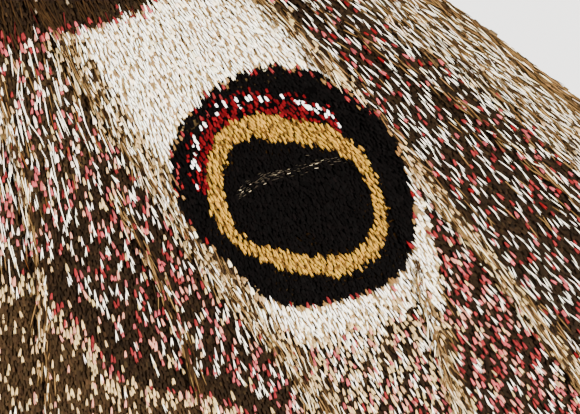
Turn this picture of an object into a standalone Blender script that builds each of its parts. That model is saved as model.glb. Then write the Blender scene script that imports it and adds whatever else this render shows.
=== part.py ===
"""A life-size female emperor moth at rest, its four wings spread flat, standing on its six feet.

The model is in metres with +Z up. The head looks along -Y, so the moth's right side is at -X.
Sizes below are in millimetres, and MM turns them to metres where meshes are made.
"""

import math

import bmesh
import bpy
from mathutils import Matrix, Vector

MM = 0.001
COLLECTION = "emperor_moth"

# Where the body's own zero, the middle of the thorax, lies along Y, so that the box is centred.
BODY_Y = -8.1
# Touching pieces keep this gap between their meshes.
GAP = 0.3

# Body sections: (y, half width, half height, height of the middle).
HEAD = [
    (-8.35, 0.35, 0.4, 3.75),
    (-8.05, 1.0, 1.05, 3.8),
    (-7.4, 1.65, 1.65, 4.0),
    (-6.5, 1.95, 1.95, 4.2),
    (-5.7, 1.9, 1.85, 4.4),
    (-5.05, 1.6, 1.55, 4.5),
]
THORAX = [
    (-4.75, 1.9, 1.85, 4.65),
    (-4.2, 2.7, 2.6, 4.85),
    (-3.0, 3.4, 3.2, 5.0),
    (-1.0, 3.8, 3.45, 5.1),
    (1.5, 3.8, 3.4, 5.05),
    (3.4, 3.4, 3.0, 4.7),
    (4.6, 3.0, 2.6, 4.5),
]
ABDOMEN = [
    (4.9, 3.0, 2.6, 4.4),
    (7.0, 3.6, 3.0, 4.25),
    (10.0, 3.8, 3.15, 4.1),
    (13.5, 3.7, 3.05, 3.9),
    (16.5, 3.1, 2.6, 3.55),
    (18.8, 2.0, 1.8, 3.15),
    (20.0, 1.1, 1.0, 2.9),
    (20.5, 0.4, 0.4, 2.75),
]
ABDOMEN_RINGS = 7
RING_GROOVE = 0.07
HEAD_RINGS = 11
THORAX_RINGS = 13
CLEARANCE_RINGS = 15
BODY_SIDES = 20
TUBE_SIDES = 8
SMOOTH_BELOW = math.radians(50)

# The coat's flat locks. Each row is (along y, angles round the body in degrees, length, width, lift),
# where 0 degrees is the moth's left side and 90 its back.
LOCK_THICKNESS = 0.5
LOCK_SINK = 0.7
LOCK_WIDTHS = [0.75, 1.0, 0.8]
LOCK_ROOT_RISE = 0.6
LOCK_TIP_RISE = 0.8
THORAX_LOCKS = [
    (-4.0, (2, 50, 70, 90, 110, 130, 178), 2.2, 1.6, 0.7),
    (-2.6, (66, 90, 114), 3.0, 1.8, 0.85),
    (-1.2, (58, 79, 101, 122), 3.2, 1.8, 0.75),
    (0.4, (66, 90, 114), 3.2, 1.9, 0.65),
    (1.8, (56, 78, 102, 124), 3.0, 1.8, 0.5),
    (3.0, (66, 90, 114), 2.6, 1.8, 0.5),
    (0.0, (252, 270, 288), 2.6, 1.6, 0.35),
]
ABDOMEN_LOCKS = [
    (6.9, (66, 90, 114, 220, 320), 3.2, 1.9, 0.4),
    (9.2, (52, 78, 102, 128, 212, 328), 3.2, 1.9, 0.4),
    (11.6, (66, 90, 114, 220, 320), 3.2, 1.9, 0.4),
    (14.0, (52, 78, 102, 128, 212, 328), 3.2, 1.8, 0.4),
    (16.6, (20, 60, 90, 120, 160, 205, 335), 2.8, 1.6, 0.4),
    (18.7, (40, 90, 140, 215, 325), 2.2, 1.2, 0.3),
]
HEAD_LOCKS = [
    (-7.5, (90,), -1.2, 0.9, 0.35),
    (-6.2, (90,), -1.7, 0.65, 0.45),
    (-7.4, (180, 215, 325, 360), -0.9, 0.7, 0.3),
]
TEGULA = [(2.2, -2.9, 6.9), (3.3, -2.2, 7.85), (4.2, -0.7, 7.85), (4.8, 1.0, 7.6)]
TEGULA_WIDTH = 1.7

EYE_RADIUS = 1.1
EYE_CENTRE = (1.55, -6.65, 4.3)
EYE_SEGMENTS = 16
EYE_RINGS = 10

PALP_ROOT = (0.55, -7.3, 3.3)
PALP_TIP = (0.7, -8.9, 2.75)
PALP_RADIUS = 0.42
PALP_TIP_RADIUS = 0.27

# The feeler's shaft and its comb of short paired teeth.
FEELER_PATH = [(0.7, -6.7, 5.2), (1.5, -7.9, 6.3), (3.2, -9.4, 6.7), (5.5, -10.7, 6.5), (8.0, -11.4, 5.9)]
FEELER_ROOT_RADIUS = 0.36
FEELER_TIP_RADIUS = 0.25
FEELER_STEPS = 16
TEETH_PAIRS = 9
TEETH_START = 0.24
TEETH_STRETCH = 0.7
TOOTH_LENGTH = 1.05
TOOTH_RADIUS = 0.26
TOOTH_TIP_RADIUS = 0.21
TOOTH_SIDES = 5
TOOTH_LEAN = 0.45

# Legs: hip, knee, ankle and toe.
LEGS = {
    "front": [(1.4, -3.0, 3.0), (4.2, -6.2, 3.3), (6.0, -8.4, 0.9), (7.3, -11.2, 0.2)],
    "middle": [(1.8, -0.2, 3.0), (6.3, 0.0, 3.1), (9.6, 0.9, 0.9), (12.8, 1.8, 0.2)],
    "hind": [(1.6, 2.2, 3.0), (6.0, 6.2, 2.7), (8.4, 10.4, 0.8), (9.8, 14.4, 0.2)],
}
THIGH_RADIUS = 0.62
SHIN_RADIUS = 0.5
FOOT_RADIUS = 0.32
FOOT_JOINTS = 5
FOOT_NIP = 0.86
FOOT_START = 0.35
CLAW_LENGTH = 0.75
CLAW_RADIUS = 0.2
CLAW_LIFT = 0.08
CLAW_SPREAD = 0.6

# The block under the floor that cuts the feet flat, in metres: width and depth.
BELOW_FLOOR = (0.1, 0.01)

# Wing plates. A wing has its own flat frame: s runs out along the leading edge and d back across it.
WING_THICKNESS = 0.5
WING_SLOPE = math.radians(9.0)
WING_ARCH = 0.45
WING_ARCH_REACH = 15.0
VEIN_HEIGHT = 0.24
VEIN_HALF_WIDTH = 0.3
VEIN_WIDEST_SHARE = 0.3
VEIN_FADE = 0.55
UNDER_VEIN_SHARE = 0.5
STATIONS = 12
CROSS_VEIN_HALF = 0.013
HINGE_X = 3.3

# Each wing's lines from root to margin, edge first: (name, where its ridge starts along s, points).
# A ridge that starts at None is an edge of the wing and has no ridge.
FOREWING = {
    "hinge": (-1.8, 6.6),
    "sweep": math.radians(-4.0),
    "cross_vein": ("m1", "m3", 0.5),
    "lines": [
        ("costa", None, [(-1.5, -0.9), (5.0, -1.8), (12.0, -2.3), (21.0, -2.25), (27.5, -1.4), (31.8, 0.1)]),
        ("sc", 0.0, [(-1.5, -0.5), (5.0, -1.1), (12.0, -1.5), (21.0, -1.35), (28.0, -0.4), (32.9, 1.0)]),
        ("r", 0.0, [(-1.5, -0.15), (5.0, -0.35), (12.0, -0.35), (20.5, -0.3), (27.5, 0.9), (33.5, 2.6)]),
        ("m1", 12.0, [(-1.5, 0.15), (5.0, 0.2), (12.5, 0.35), (18.9, 1.8), (25.0, 3.6), (33.3, 5.9)]),
        ("m2", 17.0, [(-1.5, 0.45), (4.9, 1.1), (12.0, 1.7), (18.3, 2.6), (23.3, 6.3), (32.0, 10.2)]),
        ("m3", 0.0, [(-1.5, 0.8), (4.6, 2.1), (9.6, 4.25), (15.5, 6.5), (20.6, 8.2), (29.2, 14.0)]),
        ("cua1", 12.5, [(-1.5, 1.1), (4.3, 2.7), (8.9, 4.95), (13.6, 6.9), (17.8, 9.7), (26.0, 16.7)]),
        ("cua2", 8.0, [(-1.5, 1.4), (4.0, 3.3), (8.2, 5.6), (11.8, 8.7), (15.4, 12.8), (22.4, 18.9)]),
        ("a", 0.0, [(-1.5, 1.9), (3.2, 4.4), (6.9, 7.9), (10.4, 11.0), (13.8, 14.2), (19.4, 19.5)]),
        ("dorsum", None, [(-1.5, 2.4), (2.6, 5.2), (5.9, 8.4), (9.3, 11.4), (12.6, 14.3), (17.4, 18.8)]),
    ],
}
HINDWING = {
    "hinge": (2.4, 5.2),
    "sweep": math.radians(28.0),
    "cross_vein": ("m1", "m3", 0.5),
    "lines": [
        ("costa", None, [(-1.2, -1.0), (5.0, -2.3), (12.0, -2.6), (17.5, -1.9), (21.0, -0.3)]),
        ("sc", 0.0, [(-1.2, -0.6), (5.2, -1.4), (12.3, -1.0), (18.4, 0.0), (23.3, 1.4)]),
        ("rs", 0.0, [(-1.2, -0.25), (5.4, 0.0), (12.3, 1.4), (18.6, 2.6), (24.9, 4.0)]),
        ("m1", 11.0, [(-1.2, 0.05), (5.5, 1.0), (12.2, 3.6), (18.5, 5.2), (25.6, 7.0)]),
        ("m2", 11.0, [(-1.2, 0.35), (5.3, 1.8), (11.7, 5.3), (17.6, 7.8), (25.0, 10.3)]),
        ("m3", 0.0, [(-1.2, 0.7), (5.0, 2.7), (10.8, 7.0), (16.0, 10.2), (23.4, 13.9)]),
        ("cua1", 8.0, [(-1.2, 1.0), (4.6, 3.4), (9.2, 8.0), (13.8, 12.2), (20.6, 17.0)]),
        ("cua2", 7.0, [(-1.2, 1.35), (4.1, 4.1), (7.9, 8.9), (11.5, 13.5), (16.8, 19.4)]),
        ("a", 0.0, [(-1.2, 1.7), (3.4, 4.6), (6.5, 9.4), (9.4, 14.0), (13.2, 19.9)]),
        ("anal", None, [(-1.2, 2.1), (2.6, 5.0), (5.2, 9.6), (7.6, 14.0), (10.4, 18.2)]),
    ],
}

COLOURS = {
    "fur": ((0.34, 0.28, 0.23), 0.9),
    "eye": ((0.02, 0.015, 0.012), 0.2),
    "feeler": ((0.30, 0.21, 0.13), 0.7),
    "leg": ((0.20, 0.13, 0.09), 0.8),
    "forewing": ((0.36, 0.30, 0.26), 0.8),
    "hindwing": ((0.45, 0.40, 0.36), 0.8),
}


def clear_scene():
    """Removes what the startup scene holds."""
    for obj in list(bpy.data.objects):
        bpy.data.objects.remove(obj)


def new_collection(name, hidden=False):
    collection = bpy.data.collections.new(name)
    bpy.context.scene.collection.children.link(collection)
    collection.hide_render = hidden
    return collection


def material(name):
    colour, roughness = COLOURS[name]
    made = bpy.data.materials.get(name) or bpy.data.materials.new(name)
    made.use_nodes = True
    shader = made.node_tree.nodes["Principled BSDF"]
    shader.inputs["Base Color"].default_value = (*colour, 1.0)
    shader.inputs["Roughness"].default_value = roughness
    shader.inputs["Metallic"].default_value = 0.0
    return made


def placed(point):
    """A point of the body's own frame, in millimetres, as a point of the model in metres."""
    x, y, z = point
    return Vector((x * MM, (y + BODY_Y) * MM, z * MM))


def mesh_object(name, points, faces, collection, colour=None):
    mesh = bpy.data.meshes.new(name)
    mesh.from_pydata([placed(point) for point in points], [], faces)
    mesh.validate()
    obj = bpy.data.objects.new(name, mesh)
    collection.objects.link(obj)
    if colour:
        mesh.materials.append(material(colour))
        mesh.shade_smooth()
        mesh.set_sharp_from_angle(angle=SMOOTH_BELOW)
    return obj


def as_cutter(obj):
    obj.hide_render = True
    obj.display_type = "WIRE"
    return obj


def boolean(obj, operation, other, solver="EXACT"):
    """Adds a Boolean with another object, or with all of a collection."""
    modifier = obj.modifiers.new(operation.lower(), "BOOLEAN")
    modifier.operation = operation
    modifier.solver = solver
    if isinstance(other, bpy.types.Collection):
        modifier.operand_type = "COLLECTION"
        modifier.collection = other
    else:
        modifier.object = other


def evaluated_mesh(obj):
    graph = bpy.context.evaluated_depsgraph_get()
    return bpy.data.meshes.new_from_object(obj.evaluated_get(graph))


def union_applied(obj, pieces, solver="EXACT"):
    """Joins a collection of closed meshes to obj for good, and removes them."""
    boolean(obj, "UNION", pieces, solver)
    joined = evaluated_mesh(obj)
    obj.modifiers.clear()
    obj.data = joined
    for piece in list(pieces.objects):
        bpy.data.objects.remove(piece)
    bpy.data.collections.remove(pieces)


def spline(points, share):
    """The point at a share, from 0 to 1, of a smooth curve through points."""
    last = len(points) - 1
    place = min(max(share, 0.0), 1.0) * last
    index = min(int(place), last - 1)
    t = place - index
    a, b, c, d = (Vector(points[min(max(index + step, 0), last)]) for step in (-1, 0, 1, 2))
    if index == 0:
        a = 2 * b - c
    if index == last - 1:
        d = 2 * c - b
    curve = 2 * b + (c - a) * t + (2 * a - 5 * b + 4 * c - d) * t**2
    return 0.5 * (curve + (3 * b - a - 3 * c + d) * t**3)


def ring_points(section, grow):
    """The points round one upright section of the body, grown by a clearance."""
    y, half_width, half_height, middle = section
    points = []
    for side in range(BODY_SIDES):
        angle = 2 * math.pi * side / BODY_SIDES
        x = (half_width + grow) * math.cos(angle)
        z = middle + (half_height + grow) * math.sin(angle)
        points.append((x, y, z))
    return points


def loft(name, sections, collection, colour=None, grow=0.0):
    """A closed body through upright sections, from the front to the back."""
    if grow:
        sections = [(sections[0][0] - grow, *sections[0][1:]), *sections[1:]]
        sections = [*sections[:-1], (sections[-1][0] + grow, *sections[-1][1:])]
    points = [point for section in sections for point in ring_points(section, grow)]
    faces = [tuple(range(BODY_SIDES)), tuple(range(len(points) - 1, len(points) - BODY_SIDES - 1, -1))]
    for ring in range(len(sections) - 1):
        for side in range(BODY_SIDES):
            a = ring * BODY_SIDES + side
            b = ring * BODY_SIDES + (side + 1) % BODY_SIDES
            faces.append((a, a + BODY_SIDES, b + BODY_SIDES, b))
    return mesh_object(name, points, faces, collection, colour)


def smooth_sections(sections, count):
    return [tuple(spline(sections, i / (count - 1))) for i in range(count)]


def abdomen_sections():
    """The abdomen's sections, nipped in between its rings."""
    steps = ABDOMEN_RINGS * 3
    found = []
    for i in range(steps + 1):
        y, half_width, half_height, middle = spline(ABDOMEN, i / steps)
        nip = 1 - RING_GROOVE * (i % 3 == 0 and 0 < i < steps)
        found.append((y, half_width * nip, half_height * nip, middle))
    return found


def sphere(name, centre, radius, collection, colour=None):
    bpy.ops.mesh.primitive_uv_sphere_add(
        segments=EYE_SEGMENTS, ring_count=EYE_RINGS, radius=radius * MM, location=placed(centre)
    )
    obj = bpy.context.object
    obj.name = name
    for other in list(obj.users_collection):
        other.objects.unlink(obj)
    collection.objects.link(obj)
    if colour:
        obj.data.materials.append(material(colour))
        obj.data.shade_smooth()
    return obj


def cone(name, root, tip, root_radius, tip_radius, collection, sides=6):
    """A tapered rod from root to tip."""
    start, end = placed(root), placed(tip)
    along = end - start
    bpy.ops.mesh.primitive_cone_add(
        vertices=sides,
        radius1=root_radius * MM,
        radius2=tip_radius * MM,
        depth=along.length,
        location=(start + end) / 2,
        rotation=along.to_track_quat("Z", "Y").to_euler(),
    )
    obj = bpy.context.object
    obj.name = name
    for other in list(obj.users_collection):
        other.objects.unlink(obj)
    collection.objects.link(obj)
    return obj


def tube(name, points, radii, collection, colour):
    """A closed round tube along points, with its own radius at each."""
    points = [Vector(point) for point in points]
    rings = []
    across = None
    for i, (centre, radius) in enumerate(zip(points, radii)):
        ahead = points[min(i + 1, len(points) - 1)] - centre
        behind = centre - points[max(i - 1, 0)]
        along = (ahead.normalized() + behind.normalized()).normalized()
        across = along.cross(Vector((0, 0, 1)) if across is None else across.cross(along)).normalized()
        up = across.cross(along)
        for side in range(TUBE_SIDES):
            angle = 2 * math.pi * (side + 0.5) / TUBE_SIDES
            rings.append(centre + radius * (math.cos(angle) * across + math.sin(angle) * up))
    last = len(rings) - TUBE_SIDES
    faces = [tuple(range(TUBE_SIDES - 1, -1, -1)), tuple(range(last, len(rings)))]
    for ring in range(len(points) - 1):
        for side in range(TUBE_SIDES):
            a = ring * TUBE_SIDES + side
            b = ring * TUBE_SIDES + (side + 1) % TUBE_SIDES
            faces.append((a, b, b + TUBE_SIDES, a + TUBE_SIDES))
    obj = mesh_object(name, rings, faces, collection, colour)
    turn_outward(obj)
    return obj


def turn_outward(obj):
    work = bmesh.new()
    work.from_mesh(obj.data)
    bmesh.ops.recalc_face_normals(work, faces=work.faces)
    work.to_mesh(obj.data)
    work.free()


def keep_largest(obj):
    """Drops all but the largest closed surface of a mesh."""
    work = bmesh.new()
    work.from_mesh(obj.data)
    left = set(work.faces)
    islands = []
    while left:
        island, edge = set(), {left.pop()}
        while edge:
            face = edge.pop()
            island.add(face)
            joined = {other for side in face.edges for other in side.link_faces} & left
            left -= joined
            edge |= joined
        islands.append(island)
    islands.sort(key=lambda island: sum(face.calc_area() for face in island))
    scraps = [face for island in islands[:-1] for face in island]
    bmesh.ops.delete(work, geom=scraps, context="FACES")
    work.to_mesh(obj.data)
    work.free()


def lock(name, path, width, face_up, collection):
    """A flat lock with a pointed tip along four points, its broad side facing face_up."""
    points = []
    for i, scale in enumerate(LOCK_WIDTHS):
        along = (path[i + 1] - path[max(i - 1, 0)]).normalized()
        across = along.cross(face_up).normalized()
        half_width = across * width * scale / 2
        half_depth = across.cross(along) * LOCK_THICKNESS * scale / 2
        points += [path[i] + half_width, path[i] + half_depth, path[i] - half_width, path[i] - half_depth]
    tip = len(points)
    points.append(path[3])
    faces = [(0, 1, 2, 3)]
    for ring in (0, 4):
        for i in range(4):
            j = (i + 1) % 4
            faces.append((ring + i, ring + 4 + i, ring + 4 + j, ring + j))
    faces += [(8 + i, tip, 8 + (i + 1) % 4) for i in range(4)]
    turn_outward(mesh_object(name, points, faces, collection))


def surface_point(sections, y, angle):
    """The point of a body, and its outward normal, at a place along y and an angle round it."""
    share = 0.5
    step = 0.25
    while step > 0.0005:
        share += step if spline(sections, share)[0] < y else -step
        step /= 2
    _, half_width, half_height, middle = spline(sections, share)
    point = Vector((half_width * math.cos(angle), y, middle + half_height * math.sin(angle)))
    normal = Vector((math.cos(angle) / half_width, 0, math.sin(angle) / half_height)).normalized()
    return point, normal


def body_locks(sections, rows, locks):
    """Rows of locks that lie back along a body, or forward where their length is below zero."""
    for row, (y, angles, length, width, lift) in enumerate(rows):
        for degrees in angles:
            root, normal = surface_point(sections, y, math.radians(degrees))
            end, end_normal = surface_point(sections, y + length, math.radians(degrees))
            path = [root - normal * LOCK_SINK]
            path.append(root.lerp(end, 0.25) + normal * lift * LOCK_ROOT_RISE)
            path.append(root.lerp(end, 0.65) + normal * lift)
            path.append(end + end_normal * lift * LOCK_TIP_RISE)
            lock(f"lock{row}_{degrees}", path, width, normal, locks)


def mirrored(point, side):
    return (point[0] * side, *point[1:])


def wing_rows(shape):
    """Rows from root to margin, each of (s, d, ridge) for every column across the wing."""
    lines = shape["lines"]
    names = [name for name, _, _ in lines]
    first, last, cross = shape["cross_vein"]
    first, last = names.index(first), names.index(last)
    shares = {i / (STATIONS - 1) for i in range(STATIONS)}
    rows = []
    for share in sorted(shares | {cross - CROSS_VEIN_HALF, cross, cross + CROSS_VEIN_HALF}):
        across = [spline(points, share) for _, _, points in lines]
        row = []
        for index, (_, ridge_from, _) in enumerate(lines):
            for step in (-1, 0, 1):
                if not 0 <= index + step < len(lines):
                    continue
                s, d = beside(across, index, step)
                on_vein = step == 0 and ridge_from is not None and s >= ridge_from
                ridge = 1 - VEIN_FADE * share if on_vein else 0.0
                if share == cross and first <= index + 0.5 * step <= last:
                    ridge = 1.0
                row.append((s, d, ridge))
        rows.append(row)
    return rows


def beside(across, index, step):
    """A vein's own point, or the foot of its ridge towards the next line."""
    if step == 0:
        return across[index]
    apart = (across[index + step] - across[index]).length
    return across[index].lerp(across[index + step], min(VEIN_WIDEST_SHARE, VEIN_HALF_WIDTH / apart))


def wing_height(x, y, hinge_height):
    """The height of the middle of a wing's plate over a point of the body's own frame."""
    droop = math.tan(WING_SLOPE) * (abs(x) - HINGE_X)
    arch = WING_ARCH * ((y - WING_ARCH_REACH / 2) / WING_ARCH_REACH) ** 2
    return hinge_height - droop - arch


def wing(name, shape, side, collection, colour):
    """A wing's closed plate, its veins raised in both faces."""
    hinge_y, hinge_height = shape["hinge"]
    sweep = shape["sweep"]
    rows = wing_rows(shape)
    columns = len(rows[0])
    upper, lower = [], []
    for row in rows:
        for s, d, ridge in row:
            x = side * (HINGE_X + s * math.cos(sweep) - d * math.sin(sweep))
            y = hinge_y + s * math.sin(sweep) + d * math.cos(sweep)
            middle = wing_height(x, y, hinge_height)
            upper.append((x, y, middle + WING_THICKNESS / 2 + VEIN_HEIGHT * ridge))
            lower.append((x, y, middle - WING_THICKNESS / 2 - VEIN_HEIGHT * UNDER_VEIN_SHARE * ridge))
    count = len(upper)
    faces = []
    for i in range(len(rows) - 1):
        for a in range(i * columns, (i + 1) * columns - 1):
            b, c, d = a + 1, a + columns + 1, a + columns
            faces += [(a, c, b), (a, d, c), (a + count, b + count, c + count), (a + count, c + count, d + count)]
    rim = list(range(columns))
    rim += [i * columns + columns - 1 for i in range(1, len(rows))]
    rim += [(len(rows) - 1) * columns + j for j in range(columns - 2, -1, -1)]
    rim += [i * columns for i in range(len(rows) - 2, 0, -1)]
    for a, b in zip(rim, rim[1:] + rim[:1]):
        faces += [(a, b, b + count), (a, b + count, a + count)]
    obj = mesh_object(name, upper + lower, faces, collection, colour)
    turn_outward(obj)
    return obj


def leg(name, joints, side, cutters, collection):
    """A leg of thigh, shin and jointed foot, flat under its foot, with two claws."""
    hip, knee, ankle, toe = (Vector(mirrored(point, side)) for point in joints)
    points, radii = [hip, hip.lerp(knee, 0.5), hip.lerp(knee, 0.9)], [THIGH_RADIUS * 0.9, THIGH_RADIUS, SHIN_RADIUS]
    points += [knee, knee.lerp(ankle, 0.5), knee.lerp(ankle, 0.9)]
    radii += [SHIN_RADIUS, SHIN_RADIUS, FOOT_RADIUS * 1.1]
    flat_start = ankle.lerp(toe, FOOT_START)
    flat_start.z = toe.z
    points.append(ankle)
    radii.append(FOOT_RADIUS)
    for i in range(FOOT_JOINTS * 2 + 1):
        points.append(flat_start.lerp(toe, i / (FOOT_JOINTS * 2)))
        radii.append(FOOT_RADIUS * (FOOT_NIP if i % 2 else 1.0))
    obj = tube(name, points, radii, collection, "leg")
    forward = (toe - flat_start).normalized()
    across = forward.cross(Vector((0, 0, 1)))
    claws = new_collection(name + "_claws")
    for turn in (-1, 1):
        tip = toe + (forward + CLAW_SPREAD * turn * across).normalized() * CLAW_LENGTH
        tip.z = toe.z + CLAW_LIFT
        root = toe - forward * CLAW_RADIUS
        root.z = tip.z
        cone(f"{name}_claw{turn}", root, tip, CLAW_RADIUS, CLAW_RADIUS / 2, claws)
    union_applied(obj, claws)
    for cutter in cutters:
        boolean(obj, "DIFFERENCE", cutter)
    return obj


def feeler(name, side, cutter, collection):
    """A feeler: a tapered shaft that carries a comb of short paired teeth."""
    path = [mirrored(point, side) for point in FEELER_PATH]
    shares = [i / FEELER_STEPS for i in range(FEELER_STEPS + 1)]
    points = [spline(path, share) for share in shares]
    radii = [FEELER_ROOT_RADIUS + (FEELER_TIP_RADIUS - FEELER_ROOT_RADIUS) * share for share in shares]
    obj = tube(name, points, radii, collection, "feeler")
    teeth = new_collection(name + "_teeth")
    for pair in range(TEETH_PAIRS):
        share = TEETH_START + TEETH_STRETCH * pair / (TEETH_PAIRS - 1)
        root = spline(path, share)
        along = (spline(path, share + 0.02) - spline(path, share - 0.02)).normalized()
        across = along.cross(Vector((0, 0, 1))).normalized()
        length = TOOTH_LENGTH * math.sin(math.pi * (0.25 + 0.6 * share))
        for turn in (-1, 1):
            tip = root + (across * turn + along * TOOTH_LEAN).normalized() * length
            cone(f"{name}_tooth{pair}{turn}", root, tip, TOOTH_RADIUS, TOOTH_TIP_RADIUS, teeth, sides=TOOTH_SIDES)
    union_applied(obj, teeth)
    boolean(obj, "DIFFERENCE", cutter)
    return obj


def thorax(collection):
    """The thorax with its coat of locks and a tegula over each forewing's root."""
    obj = loft("thorax", smooth_sections(THORAX, THORAX_RINGS), collection, "fur")
    locks = new_collection("thorax_locks")
    body_locks(THORAX, THORAX_LOCKS, locks)
    for side in (-1, 1):
        path = [Vector(mirrored(point, side)) for point in TEGULA]
        lock(f"tegula{side}", path, TEGULA_WIDTH, Vector((0, 0, 1)), locks)
    union_applied(obj, locks)
    keep_largest(obj)


def abdomen(collection):
    """The ringed abdomen with its coat of locks."""
    obj = loft("abdomen", abdomen_sections(), collection, "fur")
    locks = new_collection("abdomen_locks")
    body_locks(ABDOMEN, ABDOMEN_LOCKS, locks)
    union_applied(obj, locks)
    keep_largest(obj)


def head(collection, cutters):
    """The head with its two palps, hollowed where the eyes sit."""
    obj = loft("head", smooth_sections(HEAD, HEAD_RINGS), collection, "fur")
    palps = new_collection("palps")
    for side in (-1, 1):
        root, tip = mirrored(PALP_ROOT, side), mirrored(PALP_TIP, side)
        cone(f"palp{side}", root, tip, PALP_RADIUS, PALP_TIP_RADIUS, palps, sides=TUBE_SIDES)
    body_locks(HEAD, HEAD_LOCKS, palps)
    union_applied(obj, palps, solver="MANIFOLD")
    keep_largest(obj)
    for side, word in ((1, "left"), (-1, "right")):
        centre = mirrored(EYE_CENTRE, side)
        sphere("eye_" + word, centre, EYE_RADIUS, collection, "eye")
        socket = as_cutter(sphere("socket_" + word, centre, EYE_RADIUS + GAP, cutters))
        boolean(obj, "DIFFERENCE", socket, solver="MANIFOLD")
    return obj


def build():
    clear_scene()
    model = new_collection(COLLECTION)
    cutters = new_collection("cutters", hidden=True)
    around_thorax = as_cutter(loft("around_thorax", smooth_sections(THORAX, THORAX_RINGS), cutters, grow=GAP))
    around_abdomen = as_cutter(loft("around_abdomen", smooth_sections(ABDOMEN, CLEARANCE_RINGS), cutters, grow=GAP))
    around_head = as_cutter(loft("around_head", smooth_sections(HEAD, HEAD_RINGS), cutters, grow=GAP))
    bpy.ops.mesh.primitive_cube_add(size=1)
    floor = as_cutter(bpy.context.object)
    floor.name = "below_floor"
    width, depth = BELOW_FLOOR
    floor.matrix_world = Matrix.Translation((0, 0, -depth / 2)) @ Matrix.Diagonal((width, width, depth, 1))
    for other in list(floor.users_collection):
        other.objects.unlink(floor)
    cutters.objects.link(floor)

    head(model, cutters)
    thorax(model)
    abdomen(model)
    for side, word in ((1, "left"), (-1, "right")):
        feeler("antenna_" + word, side, around_head, model)
        for place, joints in LEGS.items():
            leg(f"leg_{place}_{word}", joints, side, (around_thorax, floor), model)
        for name, shape in (("forewing", FOREWING), ("hindwing", HINDWING)):
            plate = wing(f"{name}_{word}", shape, side, model, name)
            boolean(plate, "DIFFERENCE", around_thorax, solver="MANIFOLD")
            boolean(plate, "DIFFERENCE", around_abdomen, solver="MANIFOLD")


build()
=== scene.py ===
"""Looks of a life-size female emperor moth at rest, seen from above its right forewing's eyespot.

Sizes are in millimetres in the body's own frame, whose zero is under the middle of the thorax,
and placed() turns them to metres in the model's frame. A wing has its own flat frame, where s
runs out along the leading edge and d back across it.
"""

import math

import bpy
import numpy as np
from mathutils import Matrix, Vector


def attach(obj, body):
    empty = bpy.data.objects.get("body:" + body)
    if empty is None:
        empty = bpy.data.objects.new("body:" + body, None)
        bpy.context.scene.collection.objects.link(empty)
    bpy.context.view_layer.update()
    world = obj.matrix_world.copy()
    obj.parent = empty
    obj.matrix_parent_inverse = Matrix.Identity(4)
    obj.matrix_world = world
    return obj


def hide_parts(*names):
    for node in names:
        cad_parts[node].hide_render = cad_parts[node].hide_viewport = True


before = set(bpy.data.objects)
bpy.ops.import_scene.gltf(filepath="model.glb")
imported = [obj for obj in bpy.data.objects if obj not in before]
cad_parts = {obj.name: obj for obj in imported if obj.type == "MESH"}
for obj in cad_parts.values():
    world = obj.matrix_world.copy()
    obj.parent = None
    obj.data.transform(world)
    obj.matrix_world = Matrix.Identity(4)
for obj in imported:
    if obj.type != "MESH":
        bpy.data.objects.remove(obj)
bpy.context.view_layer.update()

MM = 0.001
BODY_Y = -8.1
BODY = "root"
SEED = 7
SIDES = ((1, "left"), (-1, "right"))

# The photo, and where the right forewing's own zero, leading edge and eyespot lie in it.
PHOTO_WIDTH = 580
PHOTO_HEIGHT = 414
PHOTO_PX_PER_MM = 40.0
WING_ZERO_PX = (-145.0, -307.0)
LEADING_EDGE_TURN = math.radians(35.5)
EYE_PX = (295.0, 193.0)
LENS = 100.0
SENSOR = 36.0
SCALE_TOPS = 0.25


def photo_to_wing(px):
    """A point of the photo in the right forewing's own frame."""
    x, y = (np.asarray(px, float) - WING_ZERO_PX) / PHOTO_PX_PER_MM
    turn, rise = math.cos(LEADING_EDGE_TURN), math.sin(LEADING_EDGE_TURN)
    return np.array([x * turn + y * rise, -x * rise + y * turn])


# Wing plates, as the solids have them. A line has a name, where its vein starts, and its points.
WING_SLOPE = math.radians(9.0)
WING_ARCH = 0.45
WING_ARCH_REACH = 15.0
HINGE_X = 3.3
FOREWING = {
    "hinge": (-1.8, 6.6),
    "sweep": math.radians(-4.0),
    "cross_vein": ("m1", "m3", 0.5),
    "lines": [
        ("costa", None, [(-1.5, -0.9), (5, -1.8), (12, -2.3), (21, -2.25), (27.5, -1.4), (31.8, 0.1)]),
        ("sc", 0, [(-1.5, -0.5), (5, -1.1), (12, -1.5), (21, -1.35), (28, -0.4), (32.9, 1)]),
        ("r", 0, [(-1.5, -0.15), (5, -0.35), (12, -0.35), (20.5, -0.3), (27.5, 0.9), (33.5, 2.6)]),
        ("m1", 12, [(-1.5, 0.15), (5, 0.2), (12.5, 0.35), (18.9, 1.8), (25, 3.6), (33.3, 5.9)]),
        ("m2", 17, [(-1.5, 0.45), (4.9, 1.1), (12, 1.7), (18.3, 2.6), (23.3, 6.3), (32, 10.2)]),
        ("m3", 0, [(-1.5, 0.8), (4.6, 2.1), (9.6, 4.25), (15.5, 6.5), (20.6, 8.2), (29.2, 14)]),
        ("cua1", 12.5, [(-1.5, 1.1), (4.3, 2.7), (8.9, 4.95), (13.6, 6.9), (17.8, 9.7), (26, 16.7)]),
        ("cua2", 8, [(-1.5, 1.4), (4, 3.3), (8.2, 5.6), (11.8, 8.7), (15.4, 12.8), (22.4, 18.9)]),
        ("a", 0, [(-1.5, 1.9), (3.2, 4.4), (6.9, 7.9), (10.4, 11), (13.8, 14.2), (19.4, 19.5)]),
        ("dorsum", None, [(-1.5, 2.4), (2.6, 5.2), (5.9, 8.4), (9.3, 11.4), (12.6, 14.3), (17.4, 18.8)]),
    ],
}
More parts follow.
